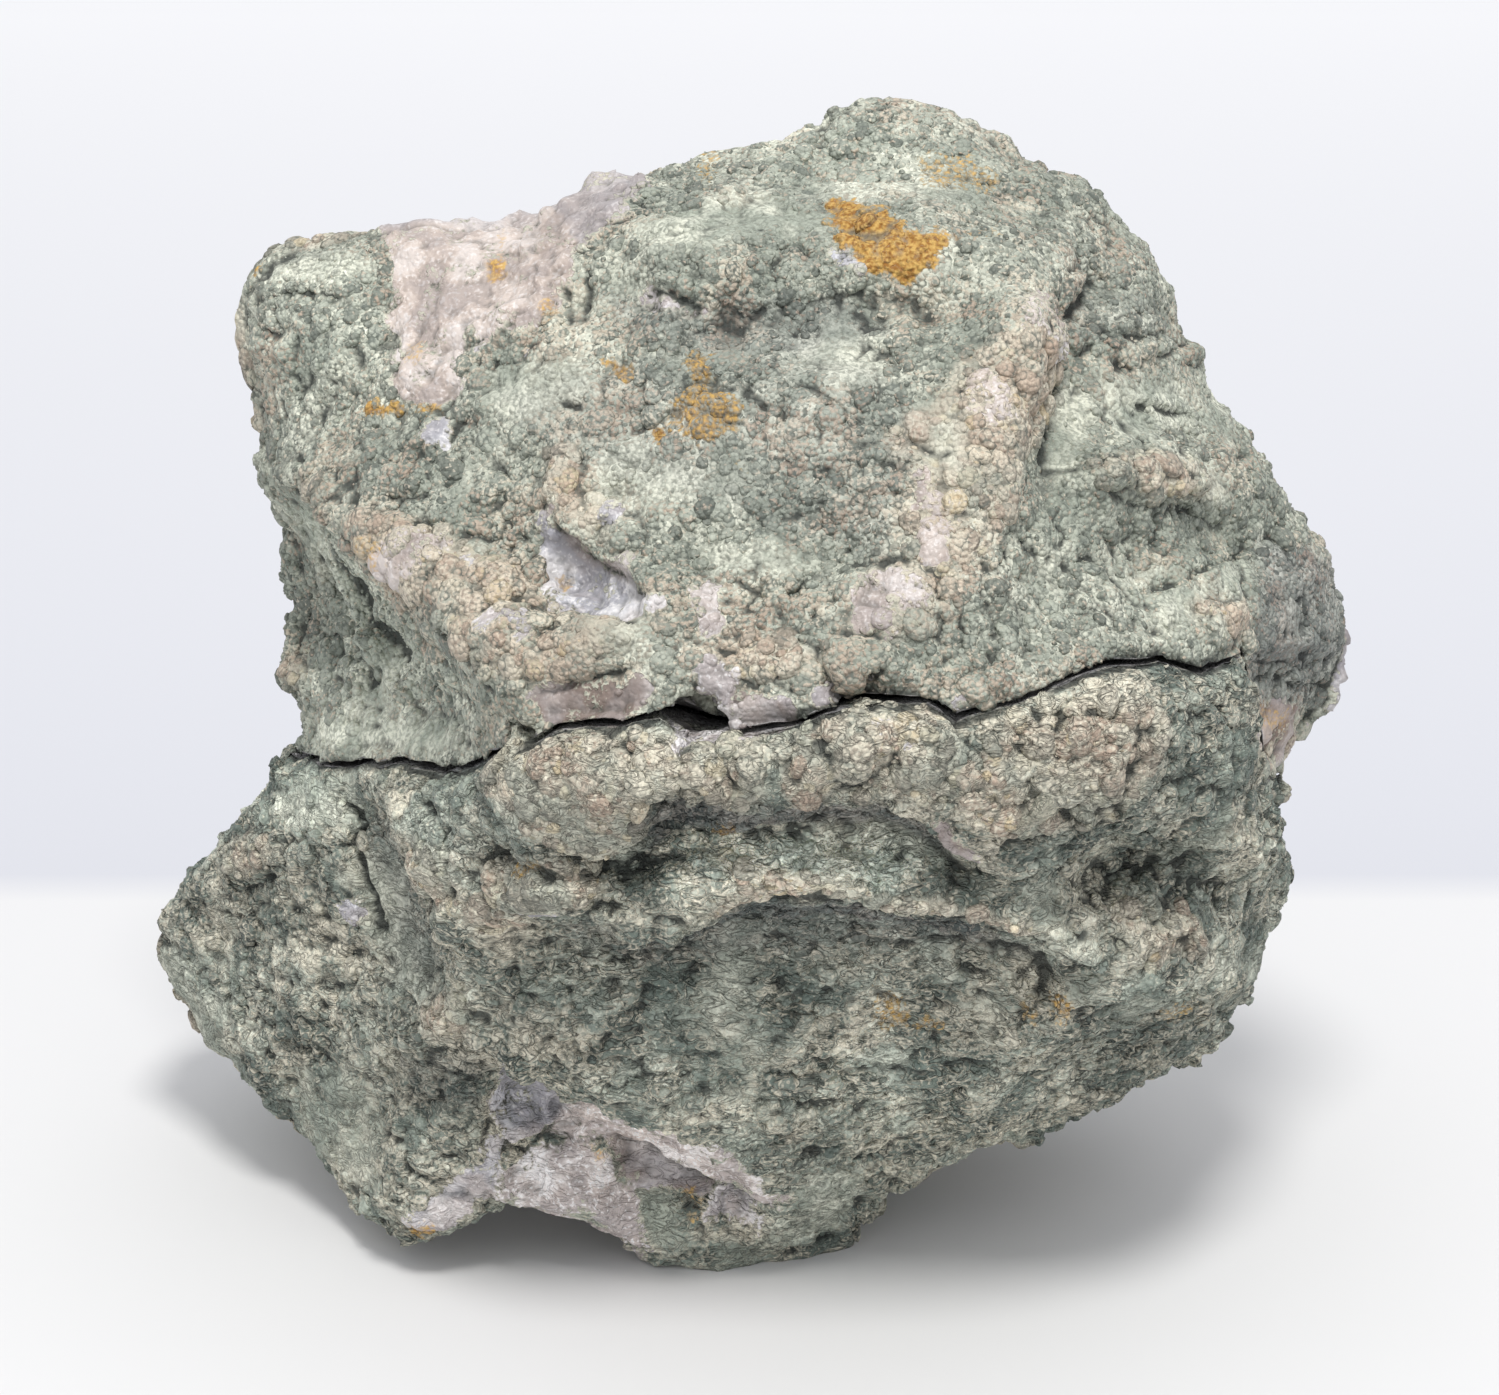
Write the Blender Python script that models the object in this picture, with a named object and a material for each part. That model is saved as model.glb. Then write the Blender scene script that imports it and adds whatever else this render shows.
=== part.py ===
"""A geode with a green-grey rind, broken across and set together again: an upper and a lower half.

Millimetres in the design, metres in Blender, +Z up, the front towards -Y. The origin is on the
floor under the middle of the stone.
"""

import math

import bmesh
import bpy
import numpy as np
from mathutils import Matrix, Vector, geometry, noise

MM = 0.001

# Driving dimensions, in millimetres.
WIDTH = 116.0
CRACK_GAP = 0.44
FLOOR_CUT = 0.0
FINE_SPACING = 2.4
COARSE_SPACING = 4.1

# The seen side was measured on a picture of the stone. A picture point is (column, row), and the
# view that took it looks along +Y, down by SEEN_FROM_ABOVE, from SEEN_FROM away, at the point
# SIGHT_HEIGHT above the floor, which is at SIGHT_POINT in the picture.
SEEN_FROM = 420.0
SEEN_FROM_ABOVE = math.radians(20.0)
SIGHT_HEIGHT = 52.0
SIGHT_POINT = (749.5, 697.5)
PICTURE_SCALE = 4506.0

# The stone's surface is described around this point.
HEART = np.array([0.0, 0.0, 52.0])

# Measured points of the seen side: column, row, and how far behind the middle plane, in
# millimetres, so that what bulges forward is negative.

# The crack across the front, left to right, with the step down at the right.
CRACK = [
    (300, 753, 3.0), (351, 763, -8.0), (400, 760, -16.0), (440, 770, -22.0), (470, 766, -26.5),
    (512, 750, -32.0), (560, 726, -36.0), (621, 724, -38.0), (660, 712, -39.0),
    (704, 722, -38.5), (740, 727, -39.5), (788, 719, -40.0), (858, 701, -40.5),
    (927, 701, -40.0), (955, 717, -39.5), (993, 705, -38.5), (1054, 685, -36.0),
    (1102, 667, -33.0), (1158, 658, -29.0), (1202, 668, -25.0), (1247, 655, -20.0),
    (1257, 718, -17.5), (1264, 770, -13.0), (1274, 778, -5.0),
]

# The outline of the upper half, clockwise from the crack's left end.
UPPER_OUTLINE = [
    (296, 712, 4.0), (272, 681, 5.0), (278, 653, 5.0), (291, 622, 4.5), (281, 588, 5.5),
    (270, 525, 7.5), (267, 468, 8.5), (271, 430, 9.0), (262, 392, 9.0), (242, 345, 9.5),
    (251, 297, 10.0), (254, 266, 10.5), (281, 251, 10.5), (345, 249, 9.5), (390, 239, 9.0),
    (423, 226, 9.5), (470, 233, 9.5), (509, 230, 9.5), (561, 211, 10.0), (588, 186, 11.0),
    (630, 170, 11.5), (688, 155, 12.0), (746, 139, 12.5), (812, 127, 12.5), (843, 101, 13.0),
    (890, 93, 13.5), (935, 100, 13.5), (975, 121, 13.0), (1042, 156, 13.0), (1088, 173, 13.0),
    (1110, 213, 13.0), (1150, 258, 13.0), (1163, 305, 13.0), (1192, 352, 12.5),
    (1192, 398, 12.0), (1224, 412, 11.0), (1254, 460, 10.5), (1286, 517, 9.0),
    (1318, 541, 8.0), (1334, 580, 7.0), (1350, 628, 5.5), (1348, 668, 4.5), (1336, 705, 3.0),
    (1304, 714, 0.0), (1299, 738, -2.0), (1280, 764, -4.0),
]

# The outline of the lower half, the other way round from the crack's left end: down the wedge,
# along its under edge, the front of the flat spot, the right under edge and up the right side.
WEDGE_OUTLINE = [
    (281, 775, 4.0), (262, 807, 4.5), (234, 824, 6.0), (207, 860, 9.0), (177, 899, 12.0),
    (155, 922, 14.0), (147, 952, 15.0), (170, 980, 14.0), (198, 1019, 11.5), (214, 1048, 9.5),
]
WEDGE_UNDER_EDGE = [
    (235, 1064, 8.0), (251, 1097, 5.0), (292, 1122, 1.0), (311, 1150, -2.0), (330, 1187, -5.5),
    (351, 1213, -8.5), (373, 1231, -11.5), (408, 1243, -15.0), (451, 1219, -17.0),
    (499, 1189, -16.5), (543, 1202, -15.5), (600, 1221, -15.0),
]
SPOT_FRONT = [
    (647, 1248, -14.5), (691, 1269, -14.3), (717, 1272, -15.0), (760, 1262, -13.0),
    (801, 1259, -12.5), (842, 1237, -12.0),
]
RIGHT_UNDER_EDGE = [
    (875, 1204, -10.5), (914, 1176, -9.0), (936, 1158, -8.5), (1019, 1135, -5.5),
    (1071, 1119, -3.5), (1097, 1094, -2.5), (1158, 1063, 0.5), (1202, 1056, 2.5),
]
RIGHT_OUTLINE = [
    (1233, 1017, 4.0), (1248, 963, 4.0), (1267, 921, 3.0), (1285, 885, 2.0), (1293, 857, 1.0),
    (1277, 832, 0.0), (1274, 797, -2.5),
]

# The face above the crack: the upper terrace, the ledge, the long slope and the lobe's crease.
UPPER_FACE = [
    (330, 300, 4.0), (330, 400, 1.0), (370, 290, 4.0), (375, 370, -1.0), (440, 270, 3.0),
    (450, 330, -3.5), (455, 400, -10.0), (520, 280, -1.0), (530, 350, -9.0), (590, 230, 1.0),
    (588, 290, -6.0), (610, 330, -11.0), (680, 200, 3.0), (700, 250, -7.0), (700, 300, -13.0),
    (710, 325, -13.5), (790, 180, 4.0), (800, 240, -5.0), (810, 275, -11.5), (815, 315, -13.5),
    (880, 150, 7.0), (890, 200, -2.0), (890, 260, -9.5), (900, 300, -13.5), (970, 180, 3.0),
    (980, 250, -8.0), (985, 310, -14.5), (1050, 210, 3.0), (1085, 240, 0.0),
    (1040, 315, -16.5), (1030, 385, -21.5), (620, 420, -18.5), (720, 400, -20.5),
    (830, 390, -20.5), (930, 390, -21.0), (975, 440, -24.5), (560, 480, -21.0),
    (690, 490, -25.5), (820, 490, -26.5), (930, 500, -28.5), (1025, 480, -25.0),
    (555, 545, -23.0), (605, 590, -26.5), (560, 620, -28.5), (660, 600, -31.0),
    (760, 590, -31.5), (870, 590, -33.0), (960, 590, -33.0), (1030, 580, -28.5),
    (580, 670, -33.5), (690, 660, -36.5), (790, 650, -36.5), (890, 650, -37.5),
    (980, 655, -36.5), (1050, 640, -32.0), (1110, 620, -29.0),
]

# The steep dark face and the nodule ridge at the upper left.
UPPER_LEFT = [
    (300, 455, 1.5), (350, 503, -8.5), (400, 545, -15.5), (440, 590, -21.0), (500, 650, -27.5),
    (400, 470, -11.0), (470, 480, -15.5), (480, 560, -21.5), (300, 540, 3.5), (322, 590, 1.0),
    (345, 560, -4.0), (390, 640, -10.0), (340, 660, -3.0), (440, 680, -19.0), (400, 715, -13.5),
    (330, 720, -3.0), (460, 735, -25.0),
]

# The lobe at the right of the crease, its overhung row of lumps and its end.
RIGHT_LOBE = [
    (1072, 300, -8.5), (1120, 290, -1.5), (1072, 385, -14.0), (1130, 350, -5.0),
    (1055, 440, -20.0), (1110, 430, -13.5), (1170, 420, -5.0), (1110, 475, -20.5),
    (1180, 475, -13.0), (1120, 530, -20.5), (1200, 530, -10.5), (1150, 585, -21.5),
    (1220, 590, -15.5), (1260, 540, -4.5), (1300, 590, -5.0), (1180, 630, -25.0),
    (1240, 640, -18.5), (1290, 650, -11.0), (1300, 690, -7.0), (1275, 700, -9.5),
]

# The lower front: the ledge, the first hollow, the ridge, the second hollow and the crest.
LOWER_FACE = [
    (500, 790, -31.0), (570, 780, -38.0), (650, 770, -40.5), (740, 765, -42.5),
    (840, 750, -42.5), (930, 755, -42.0), (1010, 750, -40.5), (1090, 730, -37.0),
    (1170, 720, -32.0), (1225, 730, -26.0), (560, 830, -37.0), (640, 815, -38.5),
    (760, 800, -40.5), (880, 790, -41.5), (970, 805, -40.5), (1070, 800, -38.0),
    (1160, 790, -33.0), (1235, 800, -22.0), (470, 850, -27.5), (545, 880, -35.5),
    (650, 860, -34.5), (740, 850, -34.0), (840, 845, -34.5), (930, 860, -36.0),
    (1030, 860, -35.5), (1130, 850, -28.5), (1200, 850, -24.5), (620, 920, -35.5),
    (720, 893, -36.5), (830, 893, -37.5), (940, 910, -37.0), (1050, 925, -34.5),
    (1140, 915, -29.5), (1230, 900, -17.5), (500, 950, -29.0), (600, 975, -30.5),
    (700, 955, -31.0), (820, 950, -31.0), (930, 975, -30.5), (1010, 1015, -29.0),
    (1080, 985, -29.5), (1150, 972, -26.0), (1225, 962, -16.0), (1180, 1020, -17.0),
    (1080, 1060, -20.5), (980, 1090, -22.0), (560, 1040, -27.0), (680, 1040, -28.0),
    (800, 1040, -28.0), (900, 1050, -26.5), (760, 1120, -25.0), (860, 1130, -21.0),
    (940, 1125, -18.0), (850, 1195, -15.5), (780, 1200, -19.0),
]

# The wedge at the lower left.
WEDGE = [
    (300, 800, -1.0), (345, 800, -9.0), (400, 800, -17.5), (450, 800, -24.5),
    (265, 860, 3.0), (330, 880, -8.0), (400, 880, -17.0), (230, 920, 6.5), (290, 960, -2.0),
    (360, 930, -10.5), (430, 930, -20.5), (200, 955, 9.5), (250, 1030, 2.5), (330, 1040, -6.0),
    (400, 1020, -15.0), (470, 1030, -23.0), (300, 1100, -3.0), (360, 1150, -9.5),
    (420, 1110, -17.5), (480, 1120, -21.0), (420, 1190, -17.0),
]

# The pale quartz arch at the bottom: its lip above, its hollow, and the smooth lip below.
ARCH = [
    (505, 1058, -25.0), (575, 1062, -26.5), (620, 1105, -26.0), (690, 1125, -25.5),
    (535, 1105, -18.0), (590, 1130, -19.0), (650, 1160, -18.5), (700, 1172, -18.5),
    (500, 1165, -18.5), (560, 1186, -17.5), (640, 1200, -17.0), (715, 1215, -18.5),
]

# The underside and the unseen back: x, y, z in millimetres.
UNDERSIDE = [
    (0, 2, -2.6), (-9, -8, -1.6), (9, -8, -1.6), (-12, 6, -1.2), (13, 6, -1.2), (-8, 18, -0.8),
    (9, 18, -0.8), (0, 26, 3.0), (-19, 9, 4.5), (21, 12, 5.5),
    (-14, 26, 7.0), (15, 27, 7.0), (-34, 12, 12.5), (-28, 24, 14.0),
    (-48, 28, 14.0), (33, 17, 14.0),
]
BACK = [
    (-16, 36, 18), (6, 38, 16), (27, 35, 20), (43, 27, 32), (-50, 31, 25), (-39, 28, 43),
    (-42, 37, 26), (-33, 36, 36), (-10, 43, 36), (14, 44, 38), (36, 36, 42), (46, 24, 47),
    (-37, 27, 62), (-29, 35, 57), (-6, 42, 58), (19, 40, 60), (40, 28, 64), (-37, 25, 79),
    (-27, 27, 78), (-3, 32, 80), (21, 31, 83), (34, 26, 80), (-28, 24, 87), (-15, 25, 88),
    (4, 26, 92), (18, 26, 93), (-2, 38, 68), (30, 33, 73), (-20, 39, 46),
]

# Behind the outline the surface turns in: how far behind, and by what share of the way to the
# middle of the picture.
TURN_BEHIND = 8.0
SIDE_TURN = 0.045
UNDER_TURN = 0.085

# Low relief drawn on the front along picture points: half width and height in millimetres
# (negative cuts in), then the points.
RELIEF = {
    "ledge under the upper terrace": (1.9, -1.3, [(700, 292), (780, 300), (870, 285), (930, 292)]),
    "slot at the ledge's left end": (1.4, -1.5, [(645, 284), (690, 290), (715, 301)]),
    "crease beside the right lobe": (2.0, -1.6, [(1095, 265), (1075, 300), (1064, 380), (1045, 450)]),
    "row of lumps on the right lobe": (2.2, 1.3, [(1095, 470), (1150, 462), (1215, 478), (1245, 490)]),
    "overhang under that row": (2.0, -1.3, [(1100, 510), (1160, 515), (1225, 520)]),
    "edge of the smooth tongue": (1.4, -1.0, [(1085, 600), (1150, 590), (1195, 573), (1240, 558)]),
    "nodule ridge at the upper left": (2.2, 1.2, [(310, 465), (355, 505), (405, 550), (450, 600), (500, 650)]),
    "crack in the left face": (1.5, -1.0, [(300, 500), (330, 560), (390, 660)]),
    "blade beside the pale window": (1.5, 1.4, [(550, 500), (600, 545), (630, 580), (655, 605)]),
    "pale window": (2.6, -1.6, [(570, 560), (590, 595)]),
    "nodules under the pale window": (2.2, 1.3, [(480, 590), (530, 640), (600, 640), (640, 630)]),
    "crest of the ledge": (2.4, 1.1, [(530, 775), (620, 765), (740, 760), (850, 745), (930, 750)]),
    "roof of the first hollow": (2.4, -1.5, [(650, 835), (740, 820), (850, 815), (930, 835), (990, 880)]),
    "ridge between the hollows": (2.2, 1.4, [(590, 915), (700, 893), (830, 890), (950, 915), (1060, 945)]),
    "second hollow": (3.0, -1.5, [(590, 965), (720, 935), (850, 935), (970, 965), (1080, 970)]),
    "lower crest": (2.0, 1.2, [(1000, 1025), (1075, 990), (1150, 975), (1225, 965)]),
    "dark hollow at the right": (3.2, -1.8, [(1100, 840), (1160, 860)]),
    "crease at the root of the wedge": (2.0, -1.6, [(345, 800), (365, 870), (395, 920), (430, 960)]),
    "shoulder of the wedge": (2.4, 1.0, [(265, 850), (310, 830)]),
    "upper lip of the arch": (1.8, 1.0, [(505, 1055), (585, 1070), (620, 1110), (700, 1130), (770, 1165)]),
    "hollow of the arch": (2.6, -1.2, [(530, 1100), (590, 1140), (660, 1170)]),
}

# Pockets that open at the crack: picture point, distance behind the middle plane, half sizes.
POCKETS = {
    "upper_half": [
        (704, 708, -37.0, (2.5, 5.0, 1.7)),
        (533, 738, -32.5, (2.3, 4.0, 1.5)),
        (852, 688, -39.0, (3.2, 3.6, 1.2)),
    ],
    "lower_half": [(708, 729, -37.5, (2.8, 4.0, 0.9))],
}

# Waves of the surface: size of a wave and its height, in millimetres.
WAVES = [(17.0, 1.1), (8.0, 0.9), (4.2, 0.6)]

# The measured outline stays as it is: waves and relief fade out towards it.
OUTLINE_CALM = 9.0
CALMEST = 0.25

BACK_FROM = 10.0
BACK_FADE = 12.0
BACK_WAVE_SIZE = 19.0
BACK_WAVE_HEIGHT = 2.6
BACK_RIDGE_SIZE = 17.0
BACK_RIDGE_HEIGHT = 3.2
LUMP_SIZE = 5.6
LUMP_HEIGHT = 1.1

FRACTURE_GRID = 4.6
FRACTURE_REACH = 74.0
FRACTURE_SLOPE = -0.24
BLOCK_DEPTH = 80.0

SEED = 11
CANDIDATES = 42000
SMOOTH_RADIUS = 0.05

UPPER_RIND = ("upper_rind", (0.42, 0.46, 0.38, 1.0), 0.9)
LOWER_RIND = ("lower_rind", (0.32, 0.35, 0.30, 1.0), 0.92)


def clear_scene():
    for thing in list(bpy.data.objects):
        bpy.data.objects.remove(thing, do_unlink=True)


def sight_ray(column, row):
    """Where the view stands, and the direction of its ray through a picture point."""
    forward = np.array([0.0, math.cos(SEEN_FROM_ABOVE), -math.sin(SEEN_FROM_ABOVE)])
    up = np.array([0.0, math.sin(SEEN_FROM_ABOVE), math.cos(SEEN_FROM_ABOVE)])
    right = np.array([1.0, 0.0, 0.0])
    eye = np.array([0.0, 0.0, SIGHT_HEIGHT]) - forward * SEEN_FROM
    across = (column - SIGHT_POINT[0]) / PICTURE_SCALE
    rise = (SIGHT_POINT[1] - row) / PICTURE_SCALE
    return eye, forward + right * across + up * rise


def placed(column, row, behind):
    """The point of a picture ray that lies so far behind the middle plane."""
    eye, ray = sight_ray(column, row)
    return eye + ray * ((behind - eye[1]) / ray[1])


def placed_all(measured):
    return [placed(*point) for point in measured]


def turned_in(measured, share):
    """Points just behind an outline and inside it, so that the outline is what shows."""
    points = []
    for column, row, behind in measured:
        inner_column = column + share * (SIGHT_POINT[0] - column)
        inner_row = row + share * (SIGHT_POINT[1] - row)
        points.append(placed(inner_column, inner_row, behind + TURN_BEHIND))
    return points


class RoundSurface:
    """The distance from the heart to the surface, smoothly read between known points."""

    def __init__(self, points):
        offsets = np.asarray(points) - HEART
        radii = np.linalg.norm(offsets, axis=1)
        self.directions = offsets / radii[:, None]
        count = len(radii)
        plain = self.plain_terms(self.directions)
        system = np.zeros((count + 4, count + 4))
        system[:count, :count] = self.kernel(self.directions)
        system[:count, count:] = plain
        system[count:, :count] = plain.T
        self.weights = np.linalg.solve(system, np.concatenate([radii, np.zeros(4)]))

    def kernel(self, directions):
        apart = directions[:, None, :] - self.directions[None, :, :]
        return np.sqrt((apart ** 2).sum(axis=2) + SMOOTH_RADIUS ** 2)

    def plain_terms(self, directions):
        return np.concatenate([np.ones((len(directions), 1)), directions], axis=1)

    def radius(self, directions):
        terms = np.concatenate([self.kernel(directions), self.plain_terms(directions)], axis=1)
        return terms @ self.weights

    def seen_point(self, column, row):
        """Where the picture ray first meets the surface."""
        eye, ray = sight_ray(column, row)
        steps = np.linspace(SEEN_FROM - 70.0, SEEN_FROM + 40.0, 441)
        along = eye + ray * steps[:, None]
        offsets = along - HEART
        distances = np.linalg.norm(offsets, axis=1)
        inside = distances < self.radius(offsets / distances[:, None])
        first = int(np.argmax(inside))
        return along[first]


def known_points():
    sides = UPPER_OUTLINE + WEDGE_OUTLINE + RIGHT_OUTLINE
    under = WEDGE_UNDER_EDGE + RIGHT_UNDER_EDGE
    faces = UPPER_FACE + UPPER_LEFT + RIGHT_LOBE + LOWER_FACE + WEDGE + ARCH
    points = placed_all(CRACK + sides + under + SPOT_FRONT + faces)
    points += turned_in(sides + [CRACK[0], CRACK[-1]], SIDE_TURN)
    points += turned_in(under, UNDER_TURN)
    return points + [np.array(point, dtype=float) for point in UNDERSIDE + BACK]


def even_directions(count):
    """Directions spread evenly over the sphere, in a fixed shuffled order."""
    order = np.random.default_rng(SEED).permutation(count)
    height = 1.0 - 2.0 * (order + 0.5) / count
    turn = order * math.pi * (3.0 - math.sqrt(5.0))
    ring = np.sqrt(1.0 - height ** 2)
    return np.stack([ring * np.cos(turn), ring * np.sin(turn), height], axis=1)


def filled_points(surface, points):
    """The known points, with others between them at the spacing that each side needs."""
    directions = even_directions(CANDIDATES)
    places = HEART + directions * surface.radius(directions)[:, None]
    kept = np.zeros((len(points) + CANDIDATES, 3))
    kept[: len(points)] = points
    count = len(points)
    for place in places:
        front = min(1.0, max(0.0, (14.0 - place[1]) / 12.0))
        spacing = COARSE_SPACING + (FINE_SPACING - COARSE_SPACING) * front
        if ((kept[:count] - place) ** 2).sum(axis=1).min() > spacing ** 2:
            kept[count] = place
            count += 1
    return kept[:count]


def relief_heights(surface, places):
    """Ledges, ridges, creases and hollows along their drawn lines."""
    heights = np.zeros(len(places))
    for half_width, height, route in RELIEF.values():
        knots = [surface.seen_point(*point) for point in route]
        nearest = np.full(len(places), np.inf)
        for start, end in zip(knots, knots[1:]):
            run = end - start
            share = np.clip(((places - start) @ run) / (run @ run), 0.0, 1.0)
            gap = np.linalg.norm(places - start - share[:, None] * run, axis=1)
            nearest = np.minimum(nearest, gap)
        heights += height * np.exp(-((nearest / half_width) ** 2))
    return heights


def back_heights(place):
    """Broad hollows and blunt ridges of the unseen back, as broken rind has them."""
    share = min(1.0, max(0.0, (place[1] - BACK_FROM) / BACK_FADE))
    hollow = BACK_WAVE_HEIGHT * noise.noise(Vector(place) / BACK_WAVE_SIZE)
    ridge = BACK_RIDGE_HEIGHT * (noise.voronoi(Vector(place) / BACK_RIDGE_SIZE)[0][0] - 0.5)
    return share * (hollow + ridge)


def wave_heights(places):
    """Rolling waves, and round lumps with creases between them."""
    heights = np.zeros(len(places))
    for number, place in enumerate(places):
        heights[number] += back_heights(place)
        for size, height in WAVES:
            heights[number] += height * noise.noise(Vector(place) / size)
        cells = noise.voronoi(Vector(place) / LUMP_SIZE)[0]
        heights[number] += LUMP_HEIGHT * (0.5 - cells[0])
    return heights


def roughened(surface, places):
    sides = UPPER_OUTLINE + WEDGE_OUTLINE + RIGHT_OUTLINE
    outline = np.array(placed_all(sides + WEDGE_UNDER_EDGE + SPOT_FRONT + RIGHT_UNDER_EDGE))
    apart = np.array([np.linalg.norm(outline - place, axis=1).min() for place in places])
    calm = CALMEST + (1.0 - CALMEST) * np.clip(apart / OUTLINE_CALM, 0.0, 1.0)
    heights = calm * (wave_heights(places) + relief_heights(surface, places))
    offsets = places - HEART
    return places + offsets / np.linalg.norm(offsets, axis=1)[:, None] * heights[:, None]


def surface_triangles(places):
    """Triangles between neighbours, found on a flat map of the sphere centred on its top."""
    offsets = places - HEART
    directions = offsets / np.linalg.norm(offsets, axis=1)[:, None]
    flat = directions[:, :2] / (1.0 + directions[:, 2:3])
    points = [Vector(point) for point in flat]
    return geometry.delaunay_2d_cdt(points, [], [], 0, 1e-9)[2]


def close_body(bm):
    """Faces outwards, made of triangles."""
    bmesh.ops.triangulate(bm, faces=bm.faces)
    bmesh.ops.recalc_face_normals(bm, faces=bm.faces)


def stone_mesh():
    """The whole stone as one closed mesh that stands on its flat spot."""
    points = known_points()
    surface = RoundSurface(points)
    places = roughened(surface, filled_points(surface, points))
    bm = bmesh.new()
    corners = [bm.verts.new(place) for place in places]
    for triangle in surface_triangles(places):
        bm.faces.new([corners[index] for index in triangle])
    everything = bm.verts[:] + bm.edges[:] + bm.faces[:]
    bmesh.ops.bisect_plane(
        bm, geom=everything, dist=1e-5, plane_co=(0.0, 0.0, FLOOR_CUT), plane_no=(0.0, 0.0, -1.0),
        clear_outer=True,
    )
    rim = [edge for edge in bm.edges if edge.is_boundary]
    bmesh.ops.holes_fill(bm, edges=rim, sides=0)
    close_body(bm)
    return bm


def fracture_height(x, y):
    """The fracture follows the seen crack at the front, and falls away gently behind it."""
    crack = np.array(placed_all(CRACK))
    front = np.interp(x, crack[:, 0], crack[:, 1])
    height = np.interp(x, crack[:, 0], crack[:, 2])
    behind = y - front
    grown = min(1.0, max(0.0, behind / 14.0))
    wave = 2.6 * noise.noise(Vector((x / 19.0, y / 19.0, 4.0)))
    wave += 1.3 * noise.noise(Vector((x / 8.0, y / 8.0, 9.0)))
    return height + FRACTURE_SLOPE * behind + grown * wave


def fracture_columns():
    """Places across the stone for the fracture's grid, with the crack's own points among them."""
    crack = [float(placed(*point)[0]) for point in CRACK]
    steps = int(2.0 * FRACTURE_REACH / FRACTURE_GRID)
    even = [-FRACTURE_REACH + FRACTURE_GRID * step for step in range(steps + 1)]
    clear = [x for x in even if min(abs(x - known) for known in crack) > 0.4 * FRACTURE_GRID]
    return sorted(clear + crack)


def fracture_block(name, side, placing):
    """A block that ends at the fracture: side -1 fills below it and side +1 above it."""
    columns = fracture_columns()
    rows = [-64.0 + FRACTURE_GRID * step for step in range(28)]
    bm = bmesh.new()
    sheet = [[bm.verts.new((x, y, fracture_height(x, y))) for y in rows] for x in columns]
    for left, right in zip(sheet, sheet[1:]):
        for index in range(len(rows) - 1):
            bm.faces.new((left[index], right[index], right[index + 1], left[index + 1]))
    bm.normal_update()
    for vert in bm.verts[:]:
        vert.co -= vert.normal * (side * CRACK_GAP / 2.0)
    rim = bmesh.ops.extrude_face_region(bm, geom=bm.faces[:])["geom"]
    moved = [item for item in rim if isinstance(item, bmesh.types.BMVert)]
    for vert in moved:
        vert.co.z = SIGHT_HEIGHT + side * BLOCK_DEPTH
    close_body(bm)
    return finished(bm, name, placing, hidden=True)


def pocket_cutter(name, placing, column, row, behind, half_sizes):
    """A rounded hollow that opens at the crack."""
    bm = bmesh.new()
    bmesh.ops.create_icosphere(bm, subdivisions=2, radius=1.0)
    centre = placed(column, row, behind)
    for vert in bm.verts:
        vert.co = Vector(centre) + Vector([a * b for a, b in zip(vert.co, half_sizes)])
    return finished(bm, name, placing, hidden=True)


def finished(bm, name, placing, hidden=False):
    """A Blender object at its real size and place, from a mesh in the design's millimetres."""
    mesh = bpy.data.meshes.new(name)
    bm.to_mesh(mesh)
    bm.free()
    mesh.transform(placing)
    thing = bpy.data.objects.new(name, mesh)
    bpy.context.scene.collection.objects.link(thing)
    if hidden:
        thing.hide_render = True
        thing.display_type = "WIRE"
    return thing


def real_placing(stone):
    """The move and scale that make the stone WIDTH across, with its box centred on the origin."""
    corners = np.array([vert.co for vert in stone.verts])
    low, high = corners.min(axis=0), corners.max(axis=0)
    middle = (low + high) / 2.0
    centred = Matrix.Translation((-middle[0], -middle[1], 0.0))
    return Matrix.Scale(WIDTH / (high[0] - low[0]) * MM, 4) @ centred


def rind_material(name, colour, roughness):
    material = bpy.data.materials.new(name)
    material.use_nodes = True
    shader = material.node_tree.nodes["Principled BSDF"]
    shader.inputs["Base Color"].default_value = colour
    shader.inputs["Roughness"].default_value = roughness
    shader.inputs["Metallic"].default_value = 0.0
    material.diffuse_color = colour
    return material


def add_cut(thing, cutter):
    cut = thing.modifiers.new(cutter.name, "BOOLEAN")
    cut.operation = "DIFFERENCE"
    cut.solver = "EXACT"
    cut.object = cutter


def connected_body(start):
    """Every vertex that edges join to the first one."""
    body = {start}
    waiting = [start]
    while waiting:
        vert = waiting.pop()
        for edge in vert.link_edges:
            other = edge.other_vert(vert)
            if other not in body:
                body.add(other)
                waiting.append(other)
    return body


def keep_largest_body(thing):
    """Applies the cuts and drops the crumbs that the fracture leaves along its edge."""
    depsgraph = bpy.context.evaluated_depsgraph_get()
    bm = bmesh.new()
    bm.from_mesh(thing.evaluated_get(depsgraph).to_mesh())
    left = set(bm.verts)
    bodies = []
    while left:
        body = connected_body(next(iter(left)))
        bodies.append(body)
        left -= body
    largest = max(bodies, key=len)
    crumbs = [vert for vert in bm.verts if vert not in largest]
    bmesh.ops.delete(bm, geom=crumbs, context="VERTS")
    thing.modifiers.clear()
    bm.to_mesh(thing.data)
    bm.free()


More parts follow.
